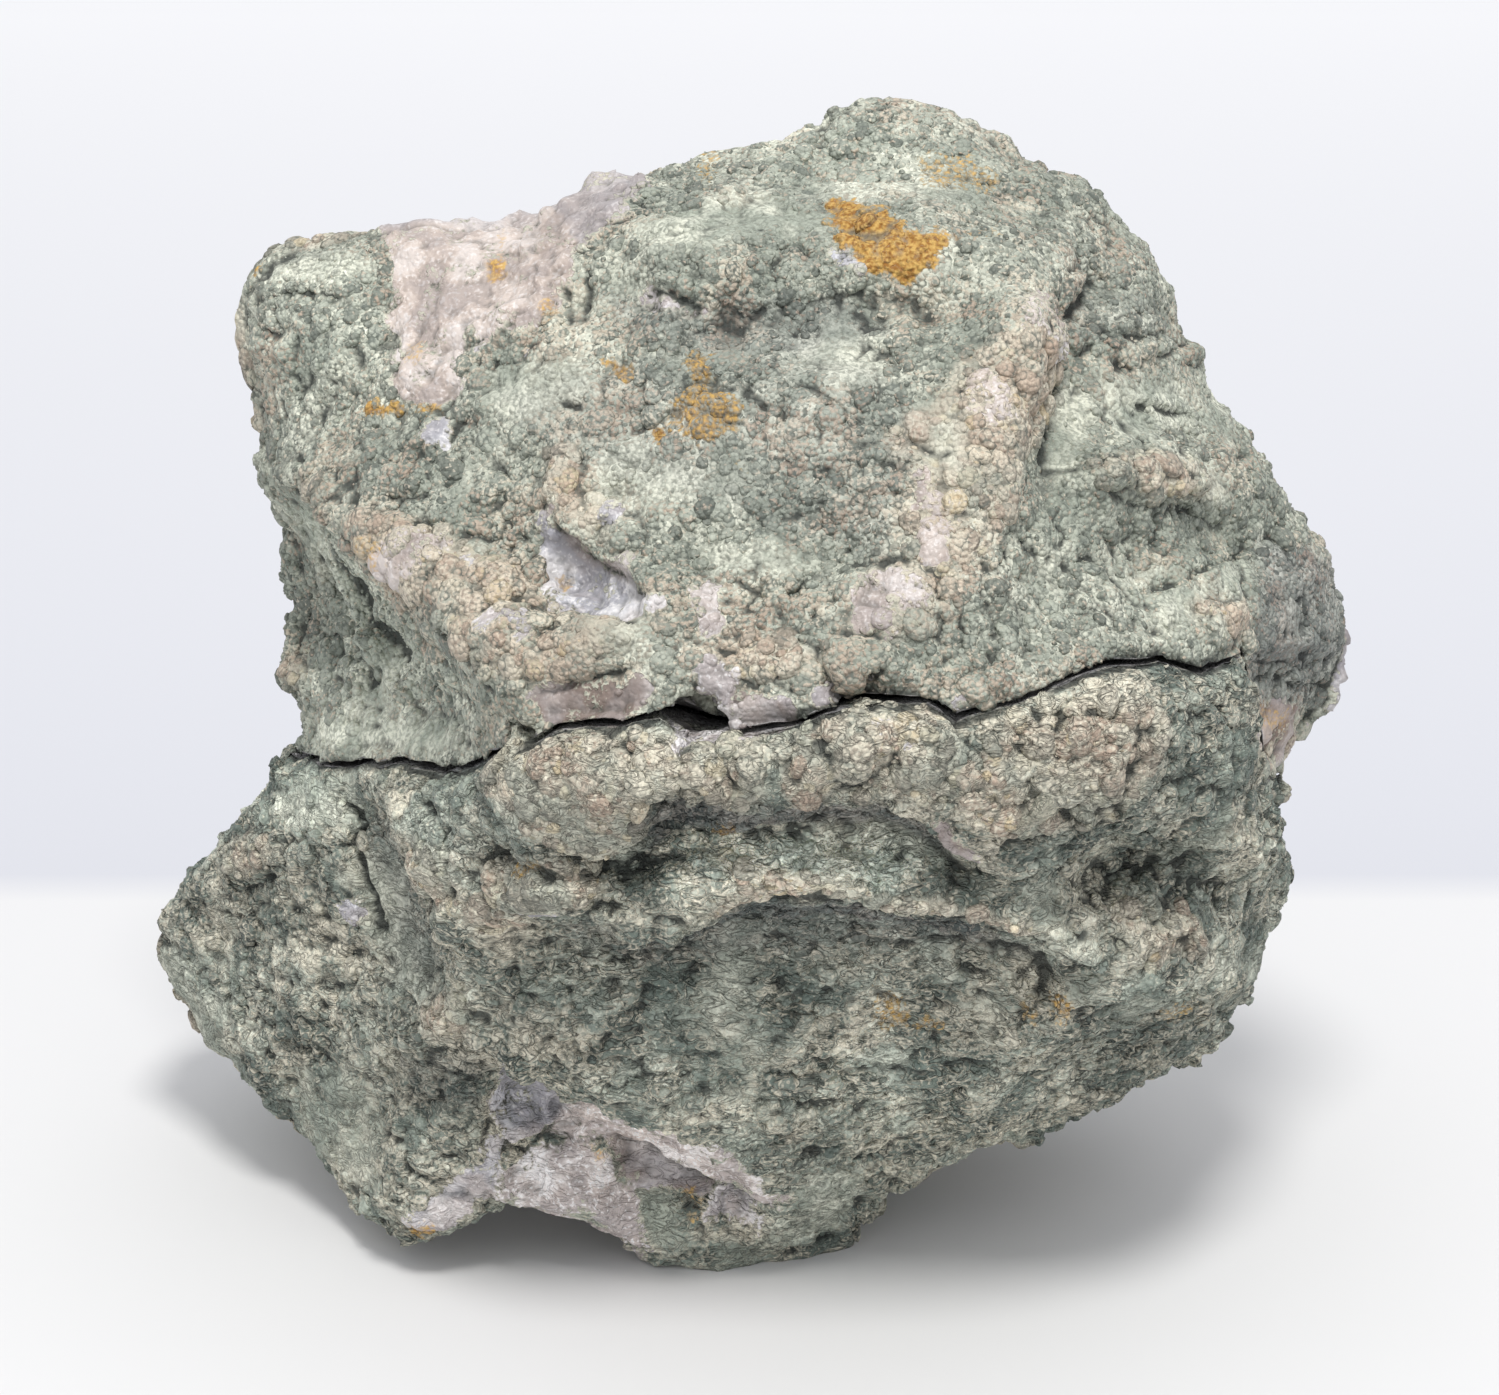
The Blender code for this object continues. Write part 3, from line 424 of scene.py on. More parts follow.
# The broad forms of each half that the picture shows: how far each line stands out from the
# stone's general shape, in millimetres, and the line. The surface between is stretched.
LEVELS = {
    "upper_half": {
        "left ridge": (1.6, [
            (290, 462), (330, 485), (352, 512), (395, 545), (410, 575), (450, 615), (490, 655),
            (520, 690),
        ]),
        "left face": (-2.2, [(292, 545), (318, 590), (350, 640), (385, 685), (420, 715)]),
        "left face foot": (-0.4, [(300, 690), (310, 735), (380, 745), (450, 740)]),
        "left block": (0.3, [(262, 290), (300, 380), (300, 430), (380, 440)]),
        "terrace lip": (1.0, [
            (640, 255), (700, 262), (745, 256), (800, 250), (850, 252), (930, 284), (990, 280),
        ]),
        "terrace foot": (-0.9, [
            (655, 300), (700, 306), (745, 310), (790, 306), (830, 300), (872, 296), (930, 310),
        ]),
        "terrace": (0.0, [(640, 200), (760, 180), (850, 190), (940, 200), (1020, 215)]),
        "crown": (0.0, [(720, 125), (800, 110), (900, 110), (1000, 160), (1060, 190), (1110, 210)]),
        "crease": (-1.6, [
            (1098, 262), (1082, 292), (1070, 330), (1062, 367), (1056, 410), (1050, 440), (1050, 470),
            (1056, 505),
        ]),
        "crease below": (-1.0, [(1056, 505), (1060, 545), (1052, 600)]),
        "crease brow": (0.9, [
            (1066, 250), (1052, 285), (1040, 318), (1044, 345), (1028, 385), (1014, 430), (1008, 470),
            (1000, 520),
        ]),
        "lobe": (0.4, [(1130, 250), (1140, 300), (1170, 340)]),
        "lobe lip": (0.3, [(1112, 388), (1150, 400), (1192, 408)]),
        "lobe foot": (0.0, [(1120, 430), (1160, 440), (1210, 440)]),
        "lobe row": (0.4, [(1100, 476), (1140, 480), (1180, 490), (1230, 508), (1262, 520)]),
        "under the row": (-0.3, [(1090, 530), (1140, 545), (1190, 545), (1230, 545)]),
        "tongue": (0.6, [(1150, 606), (1175, 598), (1200, 588), (1238, 572)]),
        "tongue face": (0.5, [(1180, 640), (1225, 630)]),
        "lobe end": (0.6, [(1275, 560), (1310, 590), (1325, 640)]),
        "lobe end foot": (-0.8, [(1262, 672), (1300, 680), (1330, 690)]),
        "triangle": (-0.7, [(560, 560), (575, 595), (605, 604), (640, 612)]),
        "triangle roof": (0.9, [(552, 492), (585, 520), (616, 548), (650, 580), (672, 606)]),
        "triangle left": (0.3, [(532, 520), (526, 570), (530, 606)]),
        "triangle foot": (0.7, [(534, 618), (570, 632), (610, 640), (650, 634)]),
        "brow over the crack": (1.0, [(500, 692), (545, 672), (600, 660), (650, 656), (690, 650)]),
        "pocket over the crack": (-0.7, [(555, 706), (590, 702), (625, 700)]),
        "brow on the right": (0.8, [(750, 680), (820, 668), (890, 662)]),
        "low right": (0.0, [(940, 640), (1000, 650), (1080, 620)]),
        "slope": (0.0, [(450, 460), (520, 430), (600, 400), (700, 370), (800, 370), (900, 390)]),
        "slope middle": (0.0, [(480, 520), (680, 470), (780, 480), (880, 470)]),
        "slope foot": (-0.3, [(690, 560), (780, 570), (850, 560)]),
        "column": (0.5, [(935, 450), (930, 520), (915, 590)]),
    },
    "lower_half": {
        "sill lip": (1.7, [
            (503, 838), (560, 850), (615, 840), (640, 798), (660, 780), (693, 772), (747, 796),
            (807, 786), (887, 783), (930, 804), (970, 838), (1000, 850), (1050, 840),
        ]),
        "sill top": (0.6, [
            (520, 750), (600, 745), (680, 755), (780, 745), (870, 730), (960, 730), (1080, 730),
        ]),
        "under the sill": (-0.4, [
            (656, 818), (700, 806), (747, 822), (807, 814), (880, 810), (925, 834), (962, 870),
        ]),
        "hollow floor": (2.2, [(660, 888), (700, 872), (760, 860), (820, 864), (880, 874), (920, 886)]),
        "between the lumps": (-1.0, [(505, 856), (560, 866), (610, 866), (640, 860)]),
        "ridge": (1.3, [
            (640, 924), (680, 918), (707, 902), (733, 893), (763, 885), (830, 887), (880, 900),
            (960, 906), (1040, 932), (1095, 962), (1112, 974),
        ]),
        "second hollow": (-2.6, [
            (520, 945), (580, 955), (640, 962), (700, 950), (760, 930), (830, 932), (900, 942),
            (980, 960), (1050, 985),
        ]),
        "second hollow foot": (-0.6, [
            (480, 1010), (560, 1025), (660, 1035), (760, 1025), (880, 1015), (980, 1020),
        ]),
        "crest": (1.1, [(1010, 1042), (1048, 1020), (1084, 1000), (1160, 987), (1240, 974)]),
        "under the crest": (-1.6, [(1020, 1085), (1090, 1050), (1160, 1030), (1220, 1015)]),
        "right hollow lip": (1.2, [(1084, 830), (1110, 816), (1150, 818), (1200, 832), (1240, 860)]),
        "right hollow": (-2.2, [(1086, 876), (1130, 858), (1180, 864), (1215, 890)]),
        "right hollow foot": (0.6, [(1080, 930), (1120, 922), (1180, 926), (1220, 935)]),
        "second lump": (0.9, [(510, 885), (550, 880), (590, 885)]),
        "under the second lump": (-1.0, [(500, 932), (550, 930), (600, 920)]),
        "valley": (-2.2, [(356, 812), (380, 850), (390, 900), (410, 945), (430, 985)]),
        "valley strip": (-0.8, [(346, 870), (360, 910), (380, 950)]),
        "body edge": (1.0, [(392, 800), (412, 840), (430, 880), (455, 930), (470, 975)]),
        "left recess brow": (0.7, [(390, 1046), (440, 1036), (490, 1046)]),
        "left recess": (-1.8, [(400, 1088), (440, 1078), (480, 1086)]),
        "left recess foot": (0.0, [(390, 1140), (430, 1150)]),
        "arch brow": (1.0, [
            (497, 1054), (540, 1060), (590, 1078), (627, 1102), (663, 1106), (710, 1134), (780, 1190),
        ]),
        "arch window": (-2.8, [(512, 1090), (545, 1104), (520, 1125), (560, 1125)]),
        "arch body": (-0.8, [(600, 1122), (650, 1136), (700, 1162), (745, 1190)]),
        "second arch": (-3.0, [(634, 1166), (665, 1182), (700, 1206), (740, 1214)]),
        "arch foot": (0.4, [(500, 1190), (560, 1200), (620, 1225), (670, 1252)]),
        "arch arm": (0.4, [(500, 1160), (460, 1185), (420, 1215)]),
        "low face": (0.0, [(700, 1090), (820, 1090), (920, 1080)]),
        "low edge": (0.0, [
            (760, 1240), (860, 1200), (1000, 1140), (1110, 1100), (1200, 1050), (1250, 940),
        ]),
        "right edge": (0.0, [(1250, 780), (1270, 860)]),
        "wedge": (0.3, [(200, 900), (250, 950), (300, 1000), (330, 1060), (360, 1130)]),
        "wedge edge": (0.0, [(170, 935), (200, 1010), (260, 1100), (310, 1170), (370, 1230)]),
        "shoulder": (0.3, [(270, 800), (300, 790), (330, 800)]),
        "wedge top": (0.5, [(230, 850), (270, 850), (300, 870)]),
    },
}

# Ledges: what stands up on the left hand of the line and falls away on the right hand, in
# millimetres, each with how far it reaches in picture points.
LEDGES = {
    "sill": (0.6, 12, 1.0, 9, [
        (640, 790), (693, 773), (747, 797), (807, 787), (887, 783), (930, 805), (975, 845),
    ]),
    "lump foot": (0.6, 14, 0.9, 8, [(530, 836), (560, 846), (600, 846), (630, 832), (645, 810)]),
    "ridge": (0.5, 12, 0.9, 10, [
        (640, 930), (690, 922), (740, 898), (800, 891), (880, 905), (960, 914), (1040, 940),
        (1100, 970),
    ]),
    "crest": (0.4, 10, 0.4, 12, [(1010, 1042), (1048, 1020), (1084, 1000), (1160, 988), (1244, 976)]),
    "crease": (1.1, 8, 0.9, 8, [
        (1047, 467), (1045, 433), (1057, 397), (1065, 367), (1067, 330), (1072, 300), (1086, 275),
        (1092, 255),
    ]),
    "lobe row": (0.2, 12, 0.3, 14, [(1100, 492), (1140, 500), (1180, 508), (1230, 526)]),
    "tongue": (-0.4, 10, -0.3, 10, [(1140, 600), (1168, 594), (1192, 578), (1234, 560), (1252, 530)]),
    "lobe lip": (0.4, 10, 0.4, 12, [(1120, 398), (1150, 406), (1192, 414)]),
    "left ridge": (0.5, 10, 1.0, 8, [
        (282, 464), (318, 492), (352, 518), (394, 562), (424, 596), (470, 642), (512, 692),
    ]),
    "triangle roof": (0.9, 12, 0.4, 14, [(556, 506), (580, 530), (612, 558), (640, 584), (662, 610)]),
    "terrace step": (0.2, 16, 0.12, 16, [
        (704, 302), (740, 304), (790, 298), (830, 290), (870, 286), (905, 298), (940, 292),
    ]),
    "slot": (0.6, 10, 0.9, 9, [(640, 291), (664, 284), (690, 291), (714, 303)]),
    "band over the crack": (0.6, 12, 0.8, 8, [(536, 694), (560, 682), (600, 672), (640, 668)]),
    "arch brow": (0.8, 9, 1.3, 8, [(497, 1066), (523, 1068), (560, 1084), (590, 1094)]),
    "arch arm brow": (0.7, 9, 1.0, 7, [
        (590, 1096), (627, 1118), (663, 1119), (710, 1147), (777, 1200),
    ]),
    "second arch": (0.7, 9, 1.2, 8, [
        (612, 1146), (650, 1154), (680, 1176), (704, 1192), (730, 1202), (775, 1205),
    ]),
    "left recess": (0.3, 10, 0.4, 14, [(390, 1056), (420, 1048), (470, 1046), (500, 1054)]),
    "wedge nodule": (0.4, 12, 0.5, 10, [(228, 878), (250, 884), (280, 872), (294, 856)]),
    "pocket roof": (0.6, 14, 1.0, 8, [(814, 684), (846, 674), (880, 668), (894, 672)]),
    "left block": (0.3, 12, 0.4, 14, [(250, 300), (290, 290), (360, 292)]),
    "valley side": (0.4, 12, 0.4, 10, [(440, 960), (424, 920), (398, 884), (388, 836), (366, 812)]),
}

# Grooves and ribs: half width in picture points, height in millimetres, and the line.
FURROWS = {
    "small crevice": (5, -0.8, [(560, 400), (572, 404), (580, 412)]),
    "window edge": (6, -0.6, [(590, 262), (588, 290), (584, 316)]),
    "window vein": (5, 0.4, [(470, 312), (500, 322), (530, 305)]),
    "window vein two": (4, 0.4, [(520, 240), (540, 270), (545, 300)]),
    "left crack": (5, -1.0, [(300, 500), (318, 545), (345, 590), (392, 662)]),
    "left face one": (8, -1.5, [(335, 520), (360, 570), (395, 640), (420, 690)]),
    "left face two": (7, -1.1, [(300, 560), (330, 630), (360, 690)]),
    "left face three": (6, 1.2, [(345, 500), (380, 560), (430, 650), (460, 700)]),
    "left face four": (5, -1.2, [(372, 540), (410, 610), (450, 680), (466, 716)]),
    "left face five": (6, 0.9, [(318, 550), (340, 605), (372, 668), (388, 700)]),
    "end furrow one": (4, -0.4, [(1258, 664), (1300, 668), (1342, 662)]),
    "end furrow two": (4, -0.4, [(1262, 682), (1300, 688), (1336, 690)]),
    "end edge": (5, 0.5, [(1254, 652), (1290, 645), (1330, 650)]),
    "wedge root": (5, -1.1, [(343, 798), (350, 820), (345, 840), (352, 880), (366, 916), (378, 940)]),
    "wedge root two": (4, -0.6, [(326, 832), (340, 850), (350, 872)]),
    "shoulder seam": (5, -0.4, [(304, 786), (296, 810), (286, 822)]),
    "lump one foot": (6, -0.7, [(552, 830), (590, 846), (622, 838), (640, 824)]),
    "arch vein": (5, 0.9, [(545, 1086), (545, 1110), (556, 1140)]),
    "arch vein two": (5, 0.9, [(500, 1140), (540, 1138), (580, 1118), (600, 1106)]),
    "foot rib": (7, 0.7, [(484, 1180), (540, 1192), (600, 1206), (640, 1232)]),
    "furrow low one": (6, -0.6, [(820, 1062), (900, 1072), (1000, 1066), (1100, 1040)]),
    "furrow low two": (6, -0.6, [(780, 1100), (860, 1110), (960, 1100), (1060, 1082)]),
    "furrow low three": (6, -0.6, [(790, 1150), (860, 1150), (930, 1134)]),
    "tongue seam": (4, -0.5, [(1236, 560), (1244, 600), (1238, 640), (1250, 690)]),
    "lobe seam": (4, -0.5, [(1270, 590), (1290, 620), (1284, 650)]),
}

# Rounded lumps: picture point, half width and half height, and height in millimetres.
LUMPS = [
    (437, 434, 17, 16, 0.6), (630, 537, 18, 20, 0.9), (614, 512, 13, 12, 0.5), (1184, 356, 13, 12, 1.0),
    (725, 818, 13, 13, 1.0), (628, 919, 15, 15, 1.1), (606, 917, 11, 12, 0.7), (667, 927, 10, 10, 0.7),
    (1138, 976, 13, 11, 0.6), (260, 857, 34, 24, 0.8), (1040, 322, 24, 20, 0.5), (985, 405, 26, 26, 0.4),
    (577, 785, 72, 55, 1.6), (550, 880, 58, 34, 1.4), (925, 740, 36, 30, 0.7), (1075, 760, 56, 40, 0.7),
    (865, 735, 44, 30, 0.8), (1093, 332, 15, 14, 0.9), (1116, 348, 13, 12, 0.8), (1136, 352, 13, 12, 0.8),
    (1154, 348, 12, 11, 0.7), (1150, 328, 12, 10, 0.6), (1124, 326, 12, 10, 0.6), (1098, 256, 16, 14, 0.9),
    (1076, 282, 10, 9, 1.1), (1112, 478, 18, 12, 0.7), (1148, 476, 16, 12, 0.8), (1180, 488, 16, 12, 0.7),
    (1210, 500, 14, 12, 0.6), (1056, 345, 12, 24, 0.9), (1036, 380, 22, 26, 0.6), (1040, 430, 14, 22, 0.5),
    (422, 560, 26, 26, 1.0), (352, 512, 20, 14, 0.7), (330, 490, 20, 14, 0.7), (300, 470, 18, 14, 0.6),
    (500, 570, 20, 14, 0.5), (510, 635, 40, 26, 0.9), (600, 640, 44, 20, 1.0), (560, 660, 40, 20, 0.8),
    (855, 662, 34, 16, 0.9), (700, 660, 22, 14, 0.6), (760, 665, 30, 18, 0.6),
    (275, 680, 18, 26, 0.8), (1218, 625, 30, 22, 0.5), (850, 590, 20, 26, 0.5), (1084, 548, 14, 10, 0.5),
    (1068, 556, 10, 10, 0.4), (560, 478, 14, 26, 0.6), (940, 440, 26, 18, 0.6), (965, 468, 22, 18, 0.6),
    (910, 610, 30, 24, 0.6), (1010, 640, 16, 22, 0.5), (815, 885, 18, 9, 0.5), (860, 892, 18, 9, 0.5),
    (735, 860, 12, 10, 0.5), (752, 872, 12, 10, 0.5), (900, 905, 16, 9, 0.5), (1000, 925, 16, 10, 0.5),
    (1120, 925, 12, 11, 0.6), (1145, 935, 12, 10, 0.6), (1170, 925, 12, 10, 0.6), (1150, 905, 12, 10, 0.5),
    (1148, 858, 9, 8, 0.6), (1128, 866, 8, 8, 0.5), (1174, 872, 9, 8, 0.6), (1140, 888, 9, 8, 0.5),
    (440, 870, 24, 30, 0.8), (430, 825, 22, 20, 0.7), (455, 920, 24, 26, 0.8), (420, 800, 20, 16, 0.6),
    (450, 1010, 26, 18, 0.7), (350, 1090, 24, 16, 0.5), (200, 940, 20, 14, 0.5), (232, 1046, 20, 12, 0.5),
    (370, 1000, 22, 16, 0.5), (300, 960, 26, 16, 0.5), (310, 1000, 20, 16, 0.5), (280, 920, 24, 14, 0.4),
    (1190, 800, 36, 20, 0.6), (1210, 840, 24, 16, 0.6), (1130, 730, 26, 22, 0.5), (1000, 850, 20, 20, 0.5),
]


# Seeded noise.

def hashed(cells, salt):
    """A number from 0 to 1 for each whole-number cell, the same on every run."""
    x, y, z = (cells[:, axis].astype(np.int64) for axis in range(3))
    mixed = (x * 374761393 + y * 668265263 + z * 1440662683 + salt * 97531) & 0xFFFFFFFF
    mixed = ((mixed ^ (mixed >> 13)) * 1274126177) & 0xFFFFFFFF
    mixed = ((mixed ^ (mixed >> 15)) * 2246822519) & 0xFFFFFFFF
    return (mixed ^ (mixed >> 16)) / 4294967296.0


def soft_noise(places, size, salt):
    """Smooth noise from -1 to 1 with bumps about so many millimetres apart."""
    scaled = places / size
    cell = np.floor(scaled).astype(np.int64)
    part = scaled - cell
    part = part * part * (3.0 - 2.0 * part)
    total = np.zeros(len(places))
    for corner in product((0, 1), repeat=3):
        weight = np.prod(np.where(np.array(corner), part, 1.0 - part), axis=1)
        total += weight * hashed(cell + np.array(corner), salt)
    return total * 2.0 - 1.0


def cloud(places, size, salt, layers=3):
    """Noise with finer noise on it."""
    total = np.zeros(len(places))
    for layer in range(layers):
        total += soft_noise(places, size / 2.0 ** layer, salt + layer) / 2.0 ** layer
    return total / (2.0 - 2.0 ** (1 - layers))


def scattered_cells(places, size, salt):
    """Distance to the nearest of scattered points, in cell sizes, and that point's number."""
    scaled = places / size
    cell = np.floor(scaled).astype(np.int64)
    nearest = np.full(len(places), 9.0)
    number = np.zeros(len(places))
    for offset in product((-1, 0, 1), repeat=3):
        there = cell + np.array(offset)
        point = there + np.stack([hashed(there, salt + axis) for axis in range(3)], axis=1)
        distance = np.linalg.norm(scaled - point, axis=1)
        closer = distance < nearest
        number = np.where(closer, hashed(there, salt + 3), number)
        nearest = np.where(closer, distance, nearest)
    return nearest, number


def ramp(values, low, high):
    """A smooth step from 0 at low to 1 at high."""
    share = np.clip((values - low) / (high - low), 0.0, 1.0)
    return share * share * (3.0 - 2.0 * share)


# The view.

def view_axes():
    """Where the view is seen from, its direction and its upward direction."""
    forward = np.array([0.0, math.cos(SEEN_FROM_ABOVE), -math.sin(SEEN_FROM_ABOVE)])
    up = np.array([0.0, math.sin(SEEN_FROM_ABOVE), math.cos(SEEN_FROM_ABOVE)])
    return SIGHT - forward * SEEN_FROM, forward, up


def in_picture(places):
    """Picture columns and rows of points in millimetres."""
    eye, forward, up = view_axes()
    offsets = places - eye
    depth = offsets @ forward
    column = PICTURE_MIDDLE[0] + PICTURE_SCALE * offsets[:, 0] / depth
    row = PICTURE_MIDDLE[1] - PICTURE_SCALE * (offsets @ up) / depth
    return np.stack([column, row], axis=1)


def close_to(points, corners, reach):
    """The points inside an outline's box and a margin round it."""
    low = np.min(corners, axis=0) - reach
    high = np.max(corners, axis=0) + reach
    return np.nonzero(((points > low) & (points < high)).all(axis=1))[0]


def inside_distance(points, outline):
    """How far picture points lie inside an outline; negative outside it."""
    corners = np.array(outline, dtype=float)
    nearest = np.full(len(points), np.inf)
    inside = np.zeros(len(points), dtype=bool)
    for start, end in zip(corners, np.roll(corners, -1, axis=0)):
        run = end - start
        share = np.clip(((points - start) @ run) / (run @ run), 0.0, 1.0)
        gap = np.linalg.norm(points - start - share[:, None] * run, axis=1)
        nearest = np.minimum(nearest, gap)
        spans = (start[1] > points[:, 1]) != (end[1] > points[:, 1])
        rise = end[1] - start[1] if end[1] != start[1] else 1e-9
        crossing = start[0] + (points[:, 1] - start[1]) / rise * run[0]
        inside ^= spans & (points[:, 0] < crossing)
    return np.where(inside, nearest, -nearest)


def along_route(points, route):
    """Distance to a line of picture points, its left hand as 1 or -1, and the way to its ends."""
    knots = np.array(route, dtype=float)
    nearest = np.full(len(points), np.inf)
    left = np.zeros(len(points))
    place = np.zeros(len(points))
    done = 0.0
    for start, end in zip(knots, knots[1:]):
        run = end - start
        length = np.linalg.norm(run)
        offset = points - start
        share = np.clip((offset @ run) / length ** 2, 0.0, 1.0)
        gap = np.linalg.norm(offset - share[:, None] * run, axis=1)
        closer = gap < nearest
        nearest = np.where(closer, gap, nearest)
        turn = run[0] * offset[:, 1] - run[1] * offset[:, 0]
        left = np.where(closer, -np.sign(turn), left)
        place = np.where(closer, done + share * length, place)
        done += length
    return nearest, left, np.minimum(place, done - place)


# Meshes.

def node_mesh(name):
    """A node's corners in millimetres and its triangles, with equal corners made one."""
    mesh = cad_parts[name].data
    mesh.calc_loop_triangles()
    places = np.empty(len(mesh.vertices) * 3)
    mesh.vertices.foreach_get("co", places)
    triangles = np.empty(len(mesh.loop_triangles) * 3, dtype=np.int32)
    mesh.loop_triangles.foreach_get("vertices", triangles)
    places = places.reshape(-1, 3) / MM
    keys = np.round(places * WELDS_PER_MM).astype(np.int64)
    first, which = np.unique(keys, axis=0, return_index=True, return_inverse=True)[1:]
    triangles = which.reshape(-1)[triangles.reshape(-1, 3)]
    a, b, c = triangles.T
    whole = (a != b) & (b != c) & (c != a)
    return places[first], triangles[whole]


def triangle_normals(places, triangles):
    """A normal for each triangle, as long as twice its area."""
    a, b, c = (places[triangles[:, corner]] for corner in range(3))
    return np.cross(b - a, c - a)


def corner_normals(places, triangles):
    """A unit normal for each corner, from the triangles round it."""
    normals = np.zeros_like(places)
    faces = triangle_normals(places, triangles)
    for corner in range(3):
        for axis in range(3):
            normals[:, axis] += np.bincount(
                triangles[:, corner], weights=faces[:, axis], minlength=len(places)
            )
    return normals / np.maximum(np.linalg.norm(normals, axis=1), 1e-12)[:, None]


def split_long_edges(places, triangles, marks, longest):
    """Halves every edge that is longer than longest allows, and the triangles beside it."""
    sides = np.stack([triangles, np.roll(triangles, -1, axis=1)], axis=2)
    low, high = sides.min(axis=2), sides.max(axis=2)
    keys = low.astype(np.int64).ravel() * len(places) + high.ravel()
    unique, which = np.unique(keys, return_inverse=True)
    starts, ends = unique // len(places), unique % len(places)
    middles = (places[starts] + places[ends]) / 2.0
    outer = np.zeros(len(unique))
    np.maximum.at(outer, which, 1.0 - np.repeat(marks, 3))
    lengths = np.linalg.norm(places[starts] - places[ends], axis=1)
    long = lengths > longest(middles, outer)
    added = np.full(len(unique), -1)
    added[long] = len(places) + np.arange(long.sum())
    places = np.concatenate([places, middles[long]])
    halves = added[which].reshape(-1, 3)
    count = (halves >= 0).sum(axis=1)
    made, made_marks = [triangles[count == 0]], [marks[count == 0]]

    def add(corners, chosen):
        made.append(np.stack(corners, axis=1))
        made_marks.append(marks[chosen])

    for turn in range(3):
        a, b, c = (triangles[:, (turn + step) % 3] for step in range(3))
        ab, bc, ca = (halves[:, (turn + step) % 3] for step in range(3))
        one = (count == 1) & (ab >= 0)
        add((a[one], ab[one], c[one]), one)
        add((ab[one], b[one], c[one]), one)
        two = (count == 2) & (ca < 0)
        add((ab[two], b[two], bc[two]), two)
        first = np.linalg.norm(places[a] - places[bc], axis=1)
        other = np.linalg.norm(places[ab] - places[c], axis=1)
        near = two & (first <= other)
        add((a[near], ab[near], bc[near]), near)
        add((a[near], bc[near], c[near]), near)
        far = two & (first > other)
        add((a[far], ab[far], c[far]), far)
        add((ab[far], bc[far], c[far]), far)
    three = count == 3
    a, b, c = triangles[three].T
    ab, bc, ca = halves[three].T
    for corners in ((a, ab, ca), (ab, b, bc), (ca, bc, c), (ab, bc, ca)):
        add(corners, three)
    return places, np.concatenate(made), np.concatenate(made_marks)


def neighbour_means(values, triangles, rounds, strength=0.5, free=None):
    """Evens values out between neighbouring corners."""
    sides = np.concatenate([triangles[:, [0, 1]], triangles[:, [1, 2]], triangles[:, [2, 0]]])
    both = np.concatenate([sides, sides[:, ::-1]])
    size = len(values)
    count = np.maximum(np.bincount(both[:, 0], minlength=size), 1)
    columns = values.reshape(size, -1)
    for step in range(rounds):
        sums = [
            np.bincount(both[:, 0], weights=column[both[:, 1]], minlength=size) for column in columns.T
        ]
        moved = columns + strength * (np.stack(sums, axis=1) / count[:, None] - columns)
        columns = moved if free is None else np.where(free[:, None], moved, columns)
    return columns.reshape(values.shape)


def tree_of(places, triangles):
    """What finds the nearest point of a surface."""
    return BVHTree.FromPolygons(places.tolist(), triangles.tolist())


def broken_faces(places, triangles, other_tree):
    """Marks the triangles of the fracture, which lie a hair's breadth off the other half."""
    middles = places[triangles].mean(axis=1)
    marks = np.zeros(len(triangles))
    for number, middle in enumerate(middles):
        distance = other_tree.find_nearest(Vector(middle))[3]
        marks[number] = distance is not None and distance < FRACTURE_REACH
    return marks


def wanted_edge(middles, outer, front_edge):
    """The longest edge allowed at each point: short in front, longer behind and in the fracture."""
    front = in_front(middles, 18.0, 12.0)
    edge = BACK_EDGE + (front_edge - BACK_EDGE) * front
    return np.where(outer > 0.0, edge, BROKEN_EDGE) * COARSER


def fine_mesh(name, other_tree):
    """The node's surface with many small triangles, rounded between its facets."""
    places, triangles = node_mesh(name)
    marks = broken_faces(places, triangles, other_tree)
    for stage in range(MOST_ROUNDS):
        before = len(triangles)
        shortest = EARLY_EDGE if stage < EARLY_ROUNDS else 0.0
        places, triangles, marks = split_long_edges(
            places, triangles, marks,
            lambda middles, outer: np.maximum(wanted_edge(middles, outer, FRONT_EDGE[name]), shortest),
        )
        if stage in ROUNDING_PASSES:
            held = np.zeros(len(places), dtype=bool)
            held[triangles[marks > 0.5].ravel()] = True
            held |= places[:, 2] < FLAT_SPOT
            places = neighbour_means(places, triangles, ROUNDING_PASSES[stage], free=~held)
        if len(triangles) == before and stage > EARLY_ROUNDS:
            break
    return places, triangles, marks


def rim_distance(places, triangles, marks):
    """How far each corner is from the rim of the fracture, up to a few millimetres."""
    on_break = np.zeros(len(places), dtype=bool)
    on_break[triangles[marks > 0.5].ravel()] = True
    outer = np.zeros(len(places), dtype=bool)
    outer[triangles[marks < 0.5].ravel()] = True
    rim = places[on_break & outer]
    tree = KDTree(len(rim))
    for number, point in enumerate(rim):
        tree.insert(point, number)
    tree.balance()
    distances = np.array([tree.find(place)[2] for place in places])
    return np.minimum(distances, RIM_REACH), outer


def in_front(places, end, fade):
    """1 in the front of the stone, fading to 0 at so many millimetres behind its middle."""
    return ramp(end - places[:, 1], 0.0, fade)


def warped(places):
    """Moves both halves alike, so that the crack turns ragged and stays closed."""
    moved = places.copy()
    for number, (size, reach) in enumerate(WARP):
        for axis in range(3):
            moved[:, axis] += reach * soft_noise(places, size=size, salt=40 + 7 * number + axis)
    low = places[:, 2] < 1.0
    moved[low, 2] = places[low, 2]
    return moved


